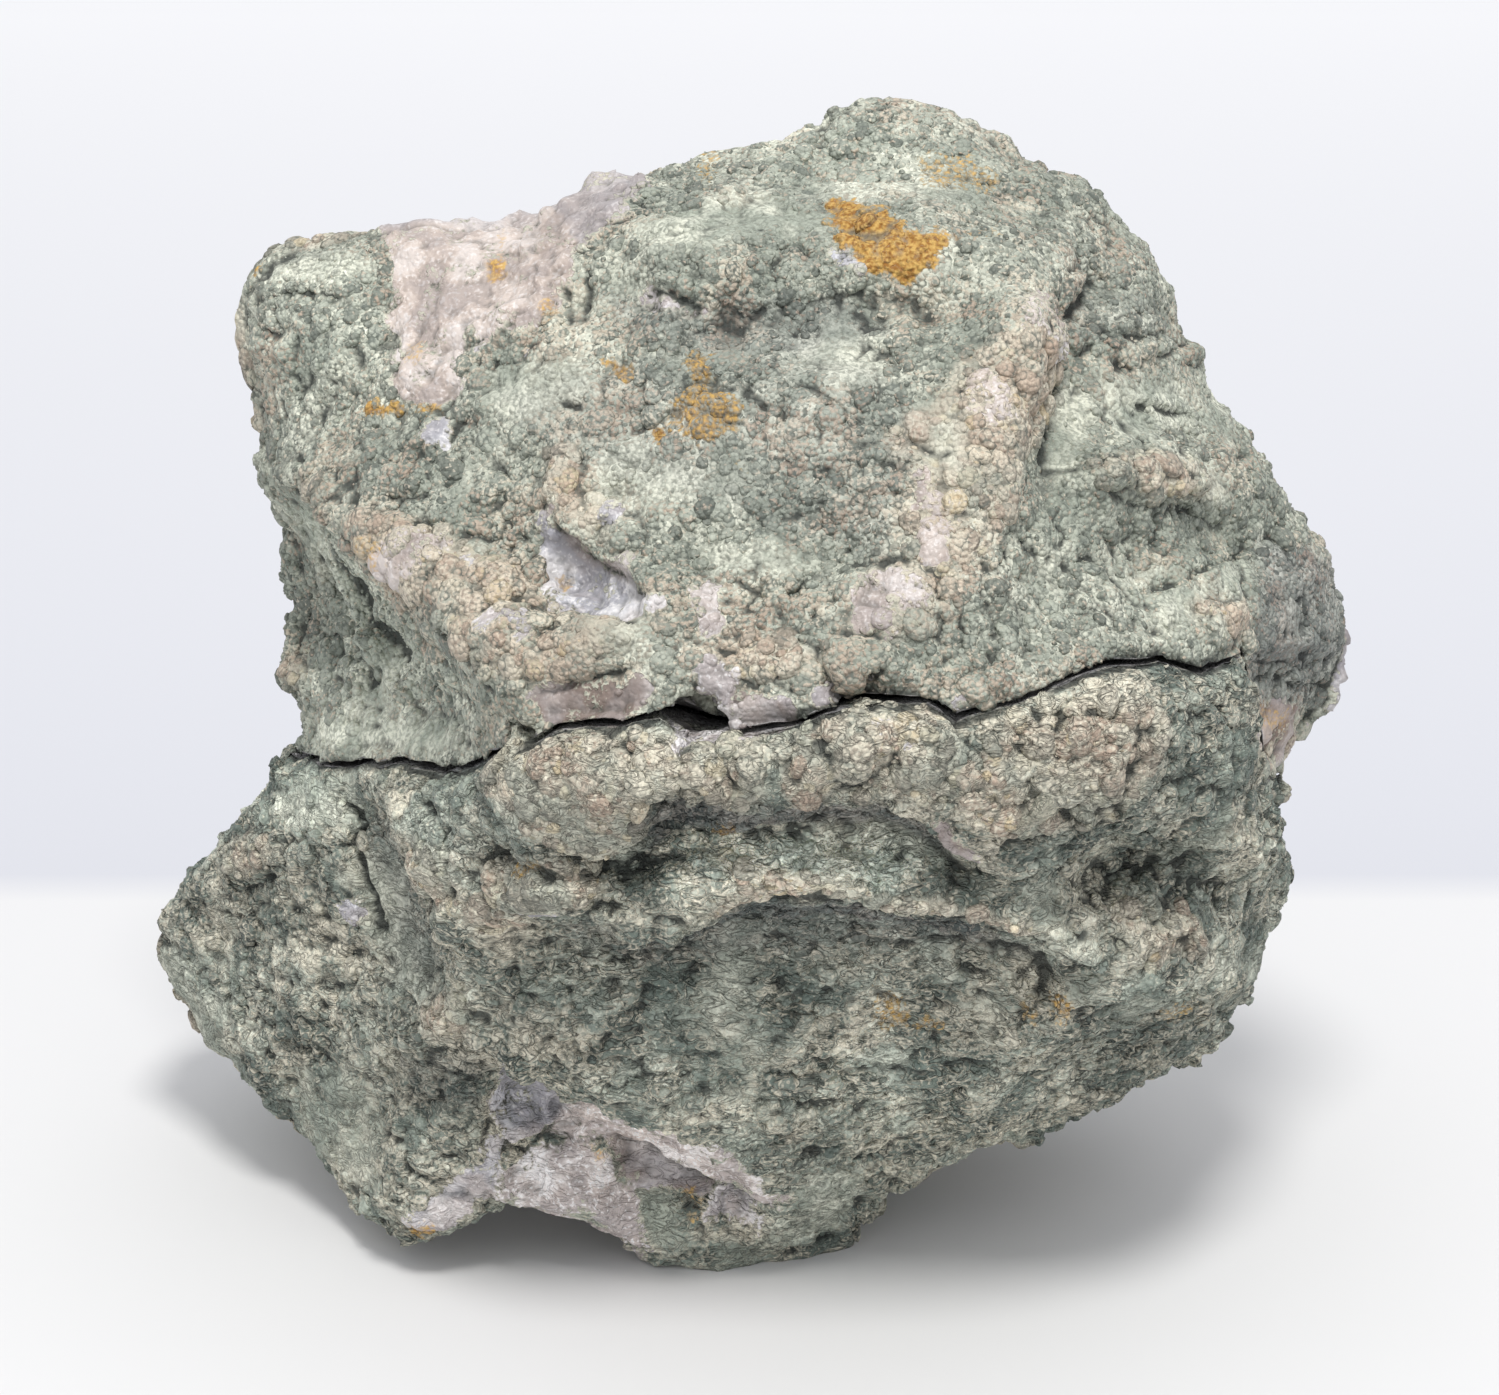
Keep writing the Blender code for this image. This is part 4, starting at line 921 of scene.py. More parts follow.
class Skin:
    """What each corner of a half looks like, as numbers from 0 to 1."""

    def __init__(self, places, normals, crackled):
        towards = view_axes()[0] - places
        towards /= np.linalg.norm(towards, axis=1)[:, None]
        self.places = places
        facing = (normals * towards).sum(axis=1)
        self.seen = ramp(facing, -0.05, 0.15)
        self.almost_seen = ramp(facing, -0.4, -0.15)
        self.wander = WANDER * cloud(places, size=3.0, salt=90)
        self.wander += WANDER * cloud(places, size=0.9, salt=95)
        drift = np.stack([cloud(places, size=2.4, salt=100 + axis) for axis in range(2)], axis=1)
        self.points = in_picture(places) + WANDER * drift
        self.looks = {"crackle": np.full(len(places), crackled)}
        self.find_quartz()
        self.looks["nodular"] = self.covered(NODULAR, 12.0)
        self.looks["dust"] = self.covered(DUSTY, 16.0)
        self.looks["streak"] = self.covered(STREAKED, 24.0)
        self.looks["ochre"] = self.stains()
        # The shade look holds painted shade and painted light, and the rind's own paler and darker
        # stretches.
        self.looks["shade"] = self.painted_shade_and_tone()
        drifts = 0.85 * ramp(cloud(places, size=9.0, salt=255), 0.2, 0.5)
        self.looks["dust"] = np.maximum(self.looks["dust"], drifts)
        self.add_unseen()
        self.looks["blotch"] = ramp(cloud(places, size=6.5, salt=120, layers=4), -0.4, 0.4)
        self.looks["mottle"] = ramp(cloud(places, size=1.7, salt=130, layers=3), -0.5, 0.5)
        self.looks["veil"] = ramp(cloud(places, size=3.0, salt=150, layers=3), -0.5, 0.5)
        near_quartz = 0.25 * ramp(self.quartz_gap, 60.0, 0.0) * self.seen
        self.looks["cream"] = ramp(cloud(places, size=5.0, salt=140, layers=4) + near_quartz, -0.15, 0.45)

    def depth_in(self, outline, margin, wander=1.0):
        """The corners in or near an outline, and how far inside its wandering edge they lie."""
        near = close_to(self.points, outline, margin)
        return near, inside_distance(self.points[near], outline) + wander * self.wander[near]

    def covered(self, outlines, softness):
        """How far each corner lies within any of some outlines."""
        total = np.zeros(len(self.points))
        for outline in outlines.values():
            near, depth = self.depth_in(outline, softness + 14.0)
            total[near] = np.maximum(total[near], ramp(depth, -softness / 2.0, softness))
        return total * self.seen

    def find_quartz(self):
        """The windows of quartz, their tints, and how far each corner is from them."""
        size = len(self.points)
        found = {name: np.zeros(size) for name in ("quartz", "pink", "white", "brown")}
        self.quartz_gap = np.full(size, 99.0)
        for label, (pink, white, brown, outline) in QUARTZ.items():
            near, depth = self.depth_in(outline, 60.0, 0.8)
            self.quartz_gap[near] = np.minimum(self.quartz_gap[near], -depth)
            share = ramp(depth, -9.0, 9.0) * self.almost_seen[near]
            share = share * (VEILED_SHARE if label in VEILED else 1.0)
            found["quartz"][near] = np.maximum(found["quartz"][near], share)
            edge = ramp(depth, -12.0, 0.0)
            for name, amount in (("pink", pink), ("white", white), ("brown", brown)):
                found[name][near] = np.maximum(found[name][near], edge * amount)
        self.looks.update(found)

    def stains(self):
        """How rusty each corner is."""
        total = np.zeros(len(self.points))
        for strength, outline in OCHRE.values():
            narrowest = np.ptp(np.array(outline), axis=0).min()
            near, depth = self.depth_in(outline, 24.0, np.clip(narrowest / 30.0, 0.4, 1.8))
            total[near] = np.maximum(total[near], strength * ramp(depth, -6.0, 6.0))
        return total * self.seen

    def painted_shade_and_tone(self):
        """How pale each corner is painted, from painted shade and painted light as well as the rind's own
        tone, with 0.5 as the usual in the upper half.
        """
        total = np.zeros(len(self.points))
        for strength, outline in PAINTED_SHADE_AND_TONE.values():
            near, depth = self.depth_in(outline, 40.0)
            total[near] += strength * ramp(depth, -14.0, 14.0)
        return np.clip(0.5 + 0.18 * self.looks["crackle"] + 0.5 * total * self.seen, 0.0, 1.6)

    def add_unseen(self):
        """The same minerals on the sides that the picture does not show."""
        hidden = 1.0 - self.seen
        looks = self.looks
        window = ramp(cloud(self.places, size=26.0, salt=210), 0.36, 0.41) * hidden
        looks["quartz"] = np.maximum(looks["quartz"], window)
        for name, typical, salt in (("pink", 0.4, 220), ("white", 0.25, 222), ("brown", 0.2, 224)):
            varied = typical * (1.0 + cloud(self.places, size=18.0, salt=salt))
            looks[name] = looks[name] * self.seen + varied * hidden
        for name, size, salt, low, high in (
            ("nodular", 15.0, 230, 0.10, 0.32), ("dust", 12.0, 250, 0.22, 0.45),
            ("ochre", 9.0, 240, 0.44, 0.6),
        ):
            spread = ramp(cloud(self.places, size=size, salt=salt), low, high) * hidden
            looks[name] = np.maximum(looks[name], spread)


def every_few(route, step):
    """Points along a line of picture points, no farther apart than a step."""
    knots = np.array(route, dtype=float)
    found = [knots[:1]]
    for start, end in zip(knots, knots[1:]):
        count = math.ceil(np.linalg.norm(end - start) / step)
        shares = np.arange(1, count + 1)[:, None] / count
        found.append(start + shares * (end - start))
    return np.concatenate(found)


def stretched_levels(points, levels):
    """Heights at picture points of a skin stretched over lines of known height."""
    spots, heights = [], []
    for height, route in levels.values():
        spots.append(every_few(route, LEVEL_STEP))
        heights.append(np.full(len(spots[-1]), height))
    spots, heights = np.concatenate(spots), np.concatenate(heights)
    size = len(spots)
    system = np.ones((size + 1, size + 1))
    system[:size, :size] = np.linalg.norm(spots[:, None] - spots[None], axis=2) - LEVEL_EASE * np.eye(size)
    system[size, size] = 0.0
    weights = np.linalg.solve(system, np.append(heights, 0.0))
    total = np.full(len(points), weights[-1])
    for spot, weight in zip(spots, weights):
        total += weight * np.linalg.norm(points - spot, axis=1)
    return total


def picture_relief(name, skin):
    """Broad forms, ledges, grooves, ribs and lumps that the picture shows, in millimetres."""
    points, seen = skin.points, skin.seen
    heights = stretched_levels(points, LEVELS[name])
    for rise, rise_reach, fall, fall_reach, route in LEDGES.values():
        near = close_to(points, route, 2.2 * max(rise_reach, fall_reach))
        distance, left, ends = along_route(points[near], route)
        up = rise * np.exp(-((distance / rise_reach) ** 2))
        down = -fall * np.exp(-((distance / fall_reach) ** 2))
        heights[near] += np.where(left > 0.0, up, down) * ramp(ends, 0.0, LEDGE_FADE)
    for half_width, height, route in FURROWS.values():
        near = close_to(points, route, 2.5 * half_width)
        distance, ends = along_route(points[near], route)[::2]
        profile = np.exp(-((distance / half_width) ** 2))
        heights[near] += height * profile * ramp(ends, -half_width, FURROW_FADE)
    for column, row, half_width, half_height, height in LUMPS:
        centre = np.array([column, row])
        size = np.array([half_width, half_height])
        near = close_to(points, [centre], 1.2 * max(half_width, half_height))
        offset = (points[near] - centre) / size
        share = np.clip(1.0 - (offset ** 2).sum(axis=1), 0.0, 1.0)
        heights[near] += height * share ** LUMP_ROUNDNESS
    return heights * seen


def rind_relief(skin):
    """Lumps, wrinkles and pits of the rind, calmer on quartz and under dust."""
    places, looks = skin.places, skin.looks
    quartz, dust, crackle = looks["quartz"], looks["dust"], looks["crackle"]
    rough = (1.0 - 0.85 * quartz) * (1.0 - (0.6 + 0.3 * crackle) * dust)
    lump, number = scattered_cells(places, size=3.0, salt=300)
    lumps = (1.0 - ramp(lump, 0.05, 0.75)) * (0.4 + number)
    small, small_number = scattered_cells(places, size=1.35, salt=320)
    smalls = (1.0 - ramp(small, 0.05, 0.72)) * (0.3 + small_number)
    patchy = ramp(cloud(places, size=7.0, salt=360), -0.35, 0.35)
    calm = 1.0 - 0.6 * looks["streak"]
    heights = 0.5 * lumps * (0.2 + 0.5 * crackle * calm + 0.65 * looks["nodular"])
    heights += (0.3 + 0.35 * crackle) * smalls * (0.3 + 0.7 * patchy)
    flow = places * np.array([0.5, 0.5, 1.0])
    bend = np.stack([cloud(places, size=2.6, salt=370 + axis) for axis in range(3)], axis=1)
    curl = 1.0 - np.abs(soft_noise(flow + 0.5 * bend, size=0.85, salt=380)) * 2.2
    curl += 0.6 * (1.0 - np.abs(soft_noise(flow + 0.3 * bend, size=0.5, salt=384)) * 2.2)
    drawn = places * np.array([0.16, 0.3, 1.0])
    lines = cloud(drawn + 0.2 * bend, size=0.9, salt=390, layers=2)
    heights += crackle * (0.2 * curl * calm)
    heights += looks["streak"] * 0.6 * lines
    base = 0.4 * cloud(places, size=8.0, salt=400)
    lively = 0.25 + 0.95 * ramp(cloud(places, size=9.0, salt=420), -0.4, 0.4)
    lively = lively * (1.0 - (0.5 + 0.3 * crackle) * dust)
    for size, height, salt in ((6.0, 1.0, 402), (3.1, 0.7, 406), (1.7, 0.5, 412)):
        bent = places * (1.0, 1.0, 1.0 + 0.5 * crackle.max()) + 0.3 * size * bend
        base += height * (np.abs(soft_noise(bent, size=size, salt=salt)) ** 0.8 - 0.3) * lively
    facets = 0.5 * np.abs(soft_noise(places, size=2.1, salt=430))
    facets += 0.3 * np.abs(soft_noise(places, size=0.9, salt=440))
    hidden = 1.0 - skin.seen
    steps = 1.2 * ramp(cloud(places, size=17.0, salt=450), -0.04, 0.04)
    steps += 0.9 * ramp(cloud(places, size=11.0, salt=460), 0.0, 0.06)
    return base + rough * (heights - 0.25) + quartz * facets + hidden * (steps - 1.2)


def crack_opening(places, distance):
    """How far each lip of the crack draws back, in millimetres."""
    amount = OPENING * (1.0 + 0.9 * cloud(places, size=7.0, salt=500))
    front = ramp(-places[:, 1], 10.0, 24.0)
    for column, half_width, more in GAPS:
        across = (in_picture(places)[:, 0] - column) / half_width
        amount = amount + more * np.exp(-across ** 2) * front
    return amount * (1.0 - ramp(distance, 0.0, 4.0))


def shortened_tips(places, triangles, free):
    """Draws back the corners that stand out from their neighbours like thorns."""
    for rounds, usual, thorn in THORNS:
        away = places - neighbour_means(places, triangles, rounds, 1.0)
        length = np.linalg.norm(away, axis=1)
        share = DRAWN_BACK * ramp(length, usual, thorn) * free
        places = places - away * share[:, None]
    return places


def stone_surface(name, other_tree, crackled, lip):
    """The finished surface of one half."""
    places, triangles, marks = fine_mesh(name, other_tree)
    distance, outer = rim_distance(places, triangles, marks)
    normals = np.zeros_like(places)
    normals[outer] = corner_normals(places, triangles[marks < 0.5])[outer]
    skin = Skin(places, normals, crackled)
    heights = rind_relief(skin) + picture_relief(name, skin)
    hold = ramp(distance, 0.0, 1.3) * ramp(places[:, 2], FLAT_SPOT, 1.4)
    heights = np.minimum(heights, HIGHEST_RELIEF) * hold
    rounding = -LIP_DEPTH * np.exp(-((distance / LIP_REACH) ** 2))
    rounding = rounding * (1.0 + 0.6 * cloud(places, size=2.5, salt=520))
    heights += rounding * ramp(places[:, 2], 0.5, 3.0)
    moved = warped(places) + normals * heights[:, None]
    moved[:, 2] += lip * crack_opening(places, distance)
    moved = shortened_tips(moved, triangles, outer & (distance > 1.0))
    moved[:, 2] = np.maximum(moved[:, 2], 0.0)
    looks = skin.looks
    # Painted shade: corners lower than the mean round them are darkened, more strongly in front.
    around = neighbour_means(heights, triangles[marks < 0.5], 6)
    wider = neighbour_means(around, triangles[marks < 0.5], 14)
    depth = (2.4 - 0.7 * crackled) * (heights - around) + 1.0 * (around - wider)
    front = in_front(places, 16.0, 12.0)
    looks["pit_shade"] = np.clip(0.5 - depth * (0.5 + 0.5 * front), 0.0, 1.0)
    total = np.bincount(triangles.ravel(), minlength=len(places))
    broken = np.bincount(triangles.ravel(), weights=np.repeat(marks, 3), minlength=len(places))
    looks["broken"] = (broken >= total).astype(float)
    looks["raised"] = np.zeros(len(places))
    looks["tone"] = scattered_cells(places, size=1.1, salt=530)[1]
    return Surface(moved, triangles, marks, looks)


def make_piece(name, places, triangles, looks, slot, replaced=None):
    """A mesh object in metres with its looks on its corners."""
    mesh = bpy.data.meshes.new(name)
    mesh.vertices.add(len(places))
    mesh.vertices.foreach_set("co", (places * MM).ravel())
    mesh.loops.add(len(triangles) * 3)
    mesh.loops.foreach_set("vertex_index", triangles.ravel().astype(np.int32))
    mesh.polygons.add(len(triangles))
    starts = np.arange(0, len(triangles) * 3, 3, dtype=np.int32)
    mesh.polygons.foreach_set("loop_start", starts)
    mesh.update(calc_edges=True)
    mesh.validate()
    mesh.shade_smooth()
    for label, values in looks.items():
        layer = mesh.attributes.new(label, "FLOAT", "POINT")
        layer.data.foreach_set("value", values.astype(np.float32))
    piece = bpy.data.objects.new(name, mesh)
    bpy.context.scene.collection.objects.link(piece)
    if replaced:
        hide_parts(replaced)
    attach(piece, "root")
    print(name, len(places), "corners", len(triangles), "triangles")
    return piece


# Grains.

# Kinds of grains: how many are tried on the upper and the lower half, how far apart they are and their
# smallest and largest radius in millimetres, how flat they are, and how much longer than wide.
GRAIN_KINDS = {
    "fine_grains": ((22000, 7000), 0.4, (0.16, 0.34), 0.8, 1.0),
    "grains": ((6000, 6000), 0.7, (0.3, 0.8), 0.6, 1.0),
    "large_grains": ((900, 1500), 1.3, (0.55, 1.1), 0.45, 1.0),
    "nodules": ((1700, 1700), 1.0, (0.35, 1.5), 0.36, 1.0),
    "flakes": ((0, 15000), 0.42, (0.15, 0.32), 0.75, 2.0),
}
QUICK_SHARE = 1.0

# How deep a grain is sunk, as a share of its height, and how deep its rim is, in millimetres.
SUNK = 0.3
RIM_SUNK = 0.1


def scatter(surface, weight, count, spacing, random):
    """Spots on a surface, no two in one cell of the spacing, the corners round each and their shares."""
    places, triangles = surface.places, surface.triangles
    area = np.linalg.norm(triangle_normals(places, triangles), axis=1) / 2.0
    chance = area * weight[triangles].mean(axis=1) * (surface.marks < 0.5)
    chosen = random.choice(len(triangles), size=count, p=chance / chance.sum())
    first, second = random.random(count), random.random(count)
    over = first + second > 1.0
    first, second = np.where(over, 1.0 - first, first), np.where(over, 1.0 - second, second)
    shares = np.stack([1.0 - first - second, first, second], axis=1)
    spots = (places[triangles[chosen]] * shares[:, :, None]).sum(axis=1)
    cells = np.floor(spots / spacing).astype(np.int64)
    kept = np.unique(cells, axis=0, return_index=True)[1]
    return spots[kept], triangles[chosen[kept]], shares[kept]


def dome_shape(sides, angles):
    """A unit dome: its corners, its triangles, and how near each corner is to the top."""
    corners = [(0.0, 0.0, 1.0)]
    nearness = [1.0]
    for ring, angle in enumerate(angles):
        for side in range(sides):
            turn = 2.0 * math.pi * (side + 0.5 * (ring % 2)) / sides
            out = math.sin(math.radians(angle))
            corners.append((out * math.cos(turn), out * math.sin(turn), math.cos(math.radians(angle))))
            nearness.append(1.0 - (ring + 1.0) / len(angles))
    triangles = []
    for side in range(sides):
        after = (side + 1) % sides
        triangles.append((0, 1 + side, 1 + after))
        for ring in range(len(angles) - 1):
            inner, lower = 1 + ring * sides, 1 + (ring + 1) * sides
            skew = ring % 2
            a, b = inner + side, inner + after
            c, d = lower + side, lower + after
            if skew:
                triangles += [(a, c, d), (a, d, b)]
            else:
                triangles += [(a, c, b), (b, c, d)]
    return np.array(corners), np.array(triangles), np.array(nearness)


def grain_domes(surface, normals, weight, kind, shape, random, tree=None):
    """Many grains half sunk in a surface, their rims drawn down to it where its tree is given."""
    looks = surface.looks
    counts, spacing, sizes, flat, drawn = GRAIN_KINDS[kind]
    count = int(counts[int(looks["crackle"].max() > 0.5)] * QUICK_SHARE)
    spots, corners, shares = scatter(surface, weight, count, spacing, random)
    count = len(spots)
    ups = (normals[corners] * shares[:, :, None]).sum(axis=1)
    ups /= np.linalg.norm(ups, axis=1)[:, None]
    radii = sizes[0] + (sizes[1] - sizes[0]) * random.random(count) ** 2.2
    turn = random.random(count) * 2.0 * math.pi
    if drawn > 1.0:
        turn = (random.random(count) - 0.5) * 1.3
    side = np.cross(ups, [0.0, 0.0, 1.0])
    side /= np.maximum(np.linalg.norm(side, axis=1), 1e-6)[:, None]
    other = np.cross(ups, side)
    first = np.cos(turn)[:, None] * side + np.sin(turn)[:, None] * other
    second = np.cross(ups, first)
    template, faces, nearness = shape
    uneven = 1.0 + 0.2 * (random.random((count, len(template))) - 0.5)
    long = radii * drawn * (0.85 + 0.4 * random.random(count))
    wide = radii * (0.75 + 0.35 * random.random(count))
    high = radii * flat * (0.7 + 0.6 * random.random(count))
    x = (template[:, 0] * uneven * long[:, None])[:, :, None] * first[:, None, :]
    y = (template[:, 1] * uneven * wide[:, None])[:, :, None] * second[:, None, :]
    z = (template[:, 2] * uneven * high[:, None] - SUNK * high[:, None])[:, :, None] * ups[:, None, :]
    places = spots[:, None, :] + x + y + z
    if tree:
        for rim in np.nonzero(nearness < 0.01)[0]:
            found = np.array([tree.find_nearest(Vector(place))[0] for place in places[:, rim]])
            places[:, rim] = found - RIM_SUNK * ups
    places = places.reshape(-1, 3)
    triangles = (faces[None] + (np.arange(count) * len(template))[:, None, None]).reshape(-1, 3)
    made = {}
    for name, values in looks.items():
        sampled = (values[corners] * shares).sum(axis=1)
        made[name] = np.repeat(sampled, len(template))
    made["raised"] = np.tile(nearness * 0.8 + 0.2, count)
    made["tone"] = np.repeat(random.random(count), len(template))
    # Painted shade, darker towards each grain's foot.
    made["pit_shade"] = np.tile(0.35 + 0.4 * (1.0 - nearness), count)
    places[:, 2] = np.maximum(places[:, 2], 0.0)
    return places, triangles, made


def grain_pieces(half, surface, slot, seed):
    """All the grains, nodules and flakes of one half, each kind as one mesh."""
    random = np.random.default_rng(seed)
    places, looks = surface.places, surface.looks
    normals = corner_normals(places, surface.triangles)
    tree = tree_of(places, surface.triangles)
    bare = (1.0 - looks["quartz"]) * (1.0 - 0.85 * looks["dust"]) * (1.0 - looks["broken"])
    bare *= ramp(places[:, 2], 0.3, 2.0) * (1.0 - 0.9 * ramp(looks["pit_shade"], 0.7, 0.95))
    front = 0.15 + 0.85 * in_front(places, 14.0, 10.0)
    patchy = 0.25 + 0.75 * ramp(cloud(places, size=5.0, salt=seed * 10), -0.3, 0.3)
    plain = bare * front * patchy * (1.0 - 0.5 * looks["nodular"])
    nodular = bare * (0.08 + looks["nodular"]) * (0.4 + 0.6 * front)
    cone = dome_shape(6, (96.0,))
    small = dome_shape(6, (48.0, 98.0))
    large = dome_shape(8, (32.0, 66.0, 100.0))
    plans = [
        ("fine_grains", plain, cone, None), ("grains", plain, small, tree),
        ("large_grains", plain ** 2, large, tree), ("nodules", nodular, large, tree),
    ]
    if looks["crackle"].max() > 0.5:
        plans.append(("flakes", plain, cone, None))
    kinds = {
        kind: grain_domes(surface, normals, weight, kind, shape, random, drawn_to)
        for kind, weight, shape, drawn_to in plans
    }
    return [make_piece(half + "_" + kind, *grains, slot) for kind, grains in kinds.items()]


# Materials.

class Nodes:
    """A short way to add nodes to a tree and to wire them."""

    def __init__(self, tree):
        self.tree = tree

    def add(self, kind, inputs=None, **settings):
        node = self.tree.nodes.new(kind)
        for name, value in settings.items():
            setattr(node, name, value)
        for name, value in (inputs or {}).items():
            self.feed(node.inputs[name], value)
        return node

    def feed(self, socket, value):
        if isinstance(value, bpy.types.NodeSocket):
            self.tree.links.new(value, socket)
        else:
            socket.default_value = value

    def math(self, operation, first, second=0.0):
        node = self.add("ShaderNodeMath", operation=operation)
        self.feed(node.inputs[0], first)
        self.feed(node.inputs[1], second)
        return node.outputs[0]

    def less(self, amount):
        """One less an amount."""
        return self.math("SUBTRACT", 1.0, amount)

    def sway(self, value, strength):
        """How far a value is from a half, so many times stronger."""
        return self.times(self.math("SUBTRACT", value, 0.5), strength)

    def times(self, *factors):
        total = factors[0]
        for factor in factors[1:]:
            total = self.math("MULTIPLY", total, factor)
        return total

    def mix(self, share, first, second, blend="MIX"):
        node = self.add("ShaderNodeMix", data_type="RGBA", blend_type=blend)
        self.feed(node.inputs[0], share)
        self.feed(node.inputs[6], first)
        self.feed(node.inputs[7], second)
        return node.outputs[2]

    def mixed_colour(self, *amounts):
        node = self.add("ShaderNodeCombineColor")
        for place, amount in enumerate(amounts):
            self.feed(node.inputs[place], amount)
        return node.outputs[0]

    def blend(self, share, first, second):
        node = self.add("ShaderNodeMix", data_type="FLOAT")
        self.feed(node.inputs[0], share)
        self.feed(node.inputs[2], first)
        self.feed(node.inputs[3], second)
        return node.outputs[0]

    def spread(self, value, low, high, to_low=0.0, to_high=1.0):
        node = self.add("ShaderNodeMapRange")
        for place, number in enumerate((value, low, high, to_low, to_high)):
            self.feed(node.inputs[place], number)
        return node.outputs[0]

    def look(self, name):
        return self.add("ShaderNodeAttribute", attribute_name=name).outputs["Fac"]

    def group(self, name, **inputs):
        return self.add("ShaderNodeGroup", inputs, node_tree=bpy.data.node_groups[name]).outputs

    def noise(self, place, scale, detail=2.0, distortion=0.0):
        inputs = {"Vector": place, "Scale": scale, "Detail": detail, "Distortion": distortion}
        return self.add("ShaderNodeTexNoise", inputs).outputs["Fac"]


SOCKETS = {"Place": "NodeSocketVector", "Colour": "NodeSocketColor"}


def new_group(name, inputs, outputs):
    """A shader node group, with number sockets apart from Place and Colour."""
    group = bpy.data.node_groups.new(name, "ShaderNodeTree")
    for way, labels in (("INPUT", inputs), ("OUTPUT", outputs)):
        for label in labels:
            kind = SOCKETS.get(label, "NodeSocketFloat")
            group.interface.new_socket(label, in_out=way, socket_type=kind)
    source = group.nodes.new("NodeGroupInput")
    sink = group.nodes.new("NodeGroupOutput")
    return Nodes(group), source.outputs, sink.inputs


def grains_group():
    """Rounded grains packed side by side: their height, the gaps round them, a number each."""
    nodes, given, made = new_group("packed grains", ["Place", "Size"], ["Height", "Gap", "Number"])
    scale = nodes.math("DIVIDE", 1.0, given["Size"])
    cells = nodes.add("ShaderNodeTexVoronoi", {"Vector": given["Place"], "Scale": scale}, feature="F1")
    number = nodes.add("ShaderNodeSeparateColor", {"Color": cells.outputs["Color"]}).outputs[0]
    nodes.feed(made["Height"], nodes.spread(cells.outputs["Distance"], 0.7, 0.1))
    nodes.feed(made["Gap"], nodes.spread(cells.outputs["Distance"], 0.5, 0.75))
    nodes.feed(made["Number"], number)


def curls_group():
    """Thin pale curls of the crackled rind and the slits between them, which are painted dark as shade,
    drawn out sideways.
    """
    nodes, given, made = new_group("crackled curls", ["Place", "Size"], ["Ridge", "Slit"])
    drawn = nodes.add("ShaderNodeVectorMath", operation="MULTIPLY")
    nodes.feed(drawn.inputs[0], given["Place"])
    drawn.inputs[1].default_value = (0.55, 0.55, 1.0)
    scale = nodes.math("DIVIDE", 1.0, given["Size"])
    field = nodes.noise(drawn.outputs[0], scale, distortion=1.0)
    away = nodes.math("ABSOLUTE", nodes.math("SUBTRACT", field, 0.52))
    nodes.feed(made["Ridge"], nodes.spread(away, 0.055, 0.0))
    slit = nodes.math("ABSOLUTE", nodes.math("SUBTRACT", field, 0.42))
    nodes.feed(made["Slit"], nodes.spread(slit, 0.04, 0.0))


# Sizes of what the materials draw, in metres, and how fine their noise is.
GRAIN_SIZE = 0.00052
CURL_SIZE = 0.0009
BUMP_DEPTH = 0.0004
FINE_SCALE = 2400.0

# Colours as linear red, green and blue.
PALE_DUST = (0.72, 0.73, 0.61, 1.0)
GREEN_DUST = (0.36, 0.39, 0.325, 1.0)
GREEN_GRAIN = (0.20, 0.225, 0.185, 1.0)
DARK_GRAIN = (0.09, 0.105, 0.09, 1.0)
DARK_TEAL = (0.078, 0.107, 0.095, 1.0)
TEAL_DUST = (0.295, 0.35, 0.30, 1.0)
# Near black, for painted shade in pits and in the slits of the curls.
PIT_AND_SLIT_SHADE = (0.035, 0.04, 0.036, 1.0)
CREAM = (0.76, 0.70, 0.56, 1.0)
PINK_BROWN = (0.50, 0.375, 0.285, 1.0)
LILAC = (0.40, 0.41, 0.455, 1.0)
PINK_QUARTZ = (0.58, 0.485, 0.42, 1.0)
WHITE_QUARTZ = (0.86, 0.84, 0.83, 1.0)
GREY_QUARTZ = (0.27, 0.25, 0.26, 1.0)
BROWN_QUARTZ = (0.21, 0.155, 0.125, 1.0)
OCHRE_LIGHT = (0.58, 0.37, 0.11, 1.0)
OCHRE_DARK = (0.30, 0.135, 0.025, 1.0)
BREAK_PALE = (0.36, 0.35, 0.34, 1.0)
BREAK_GREY = (0.17, 0.17, 0.18, 1.0)


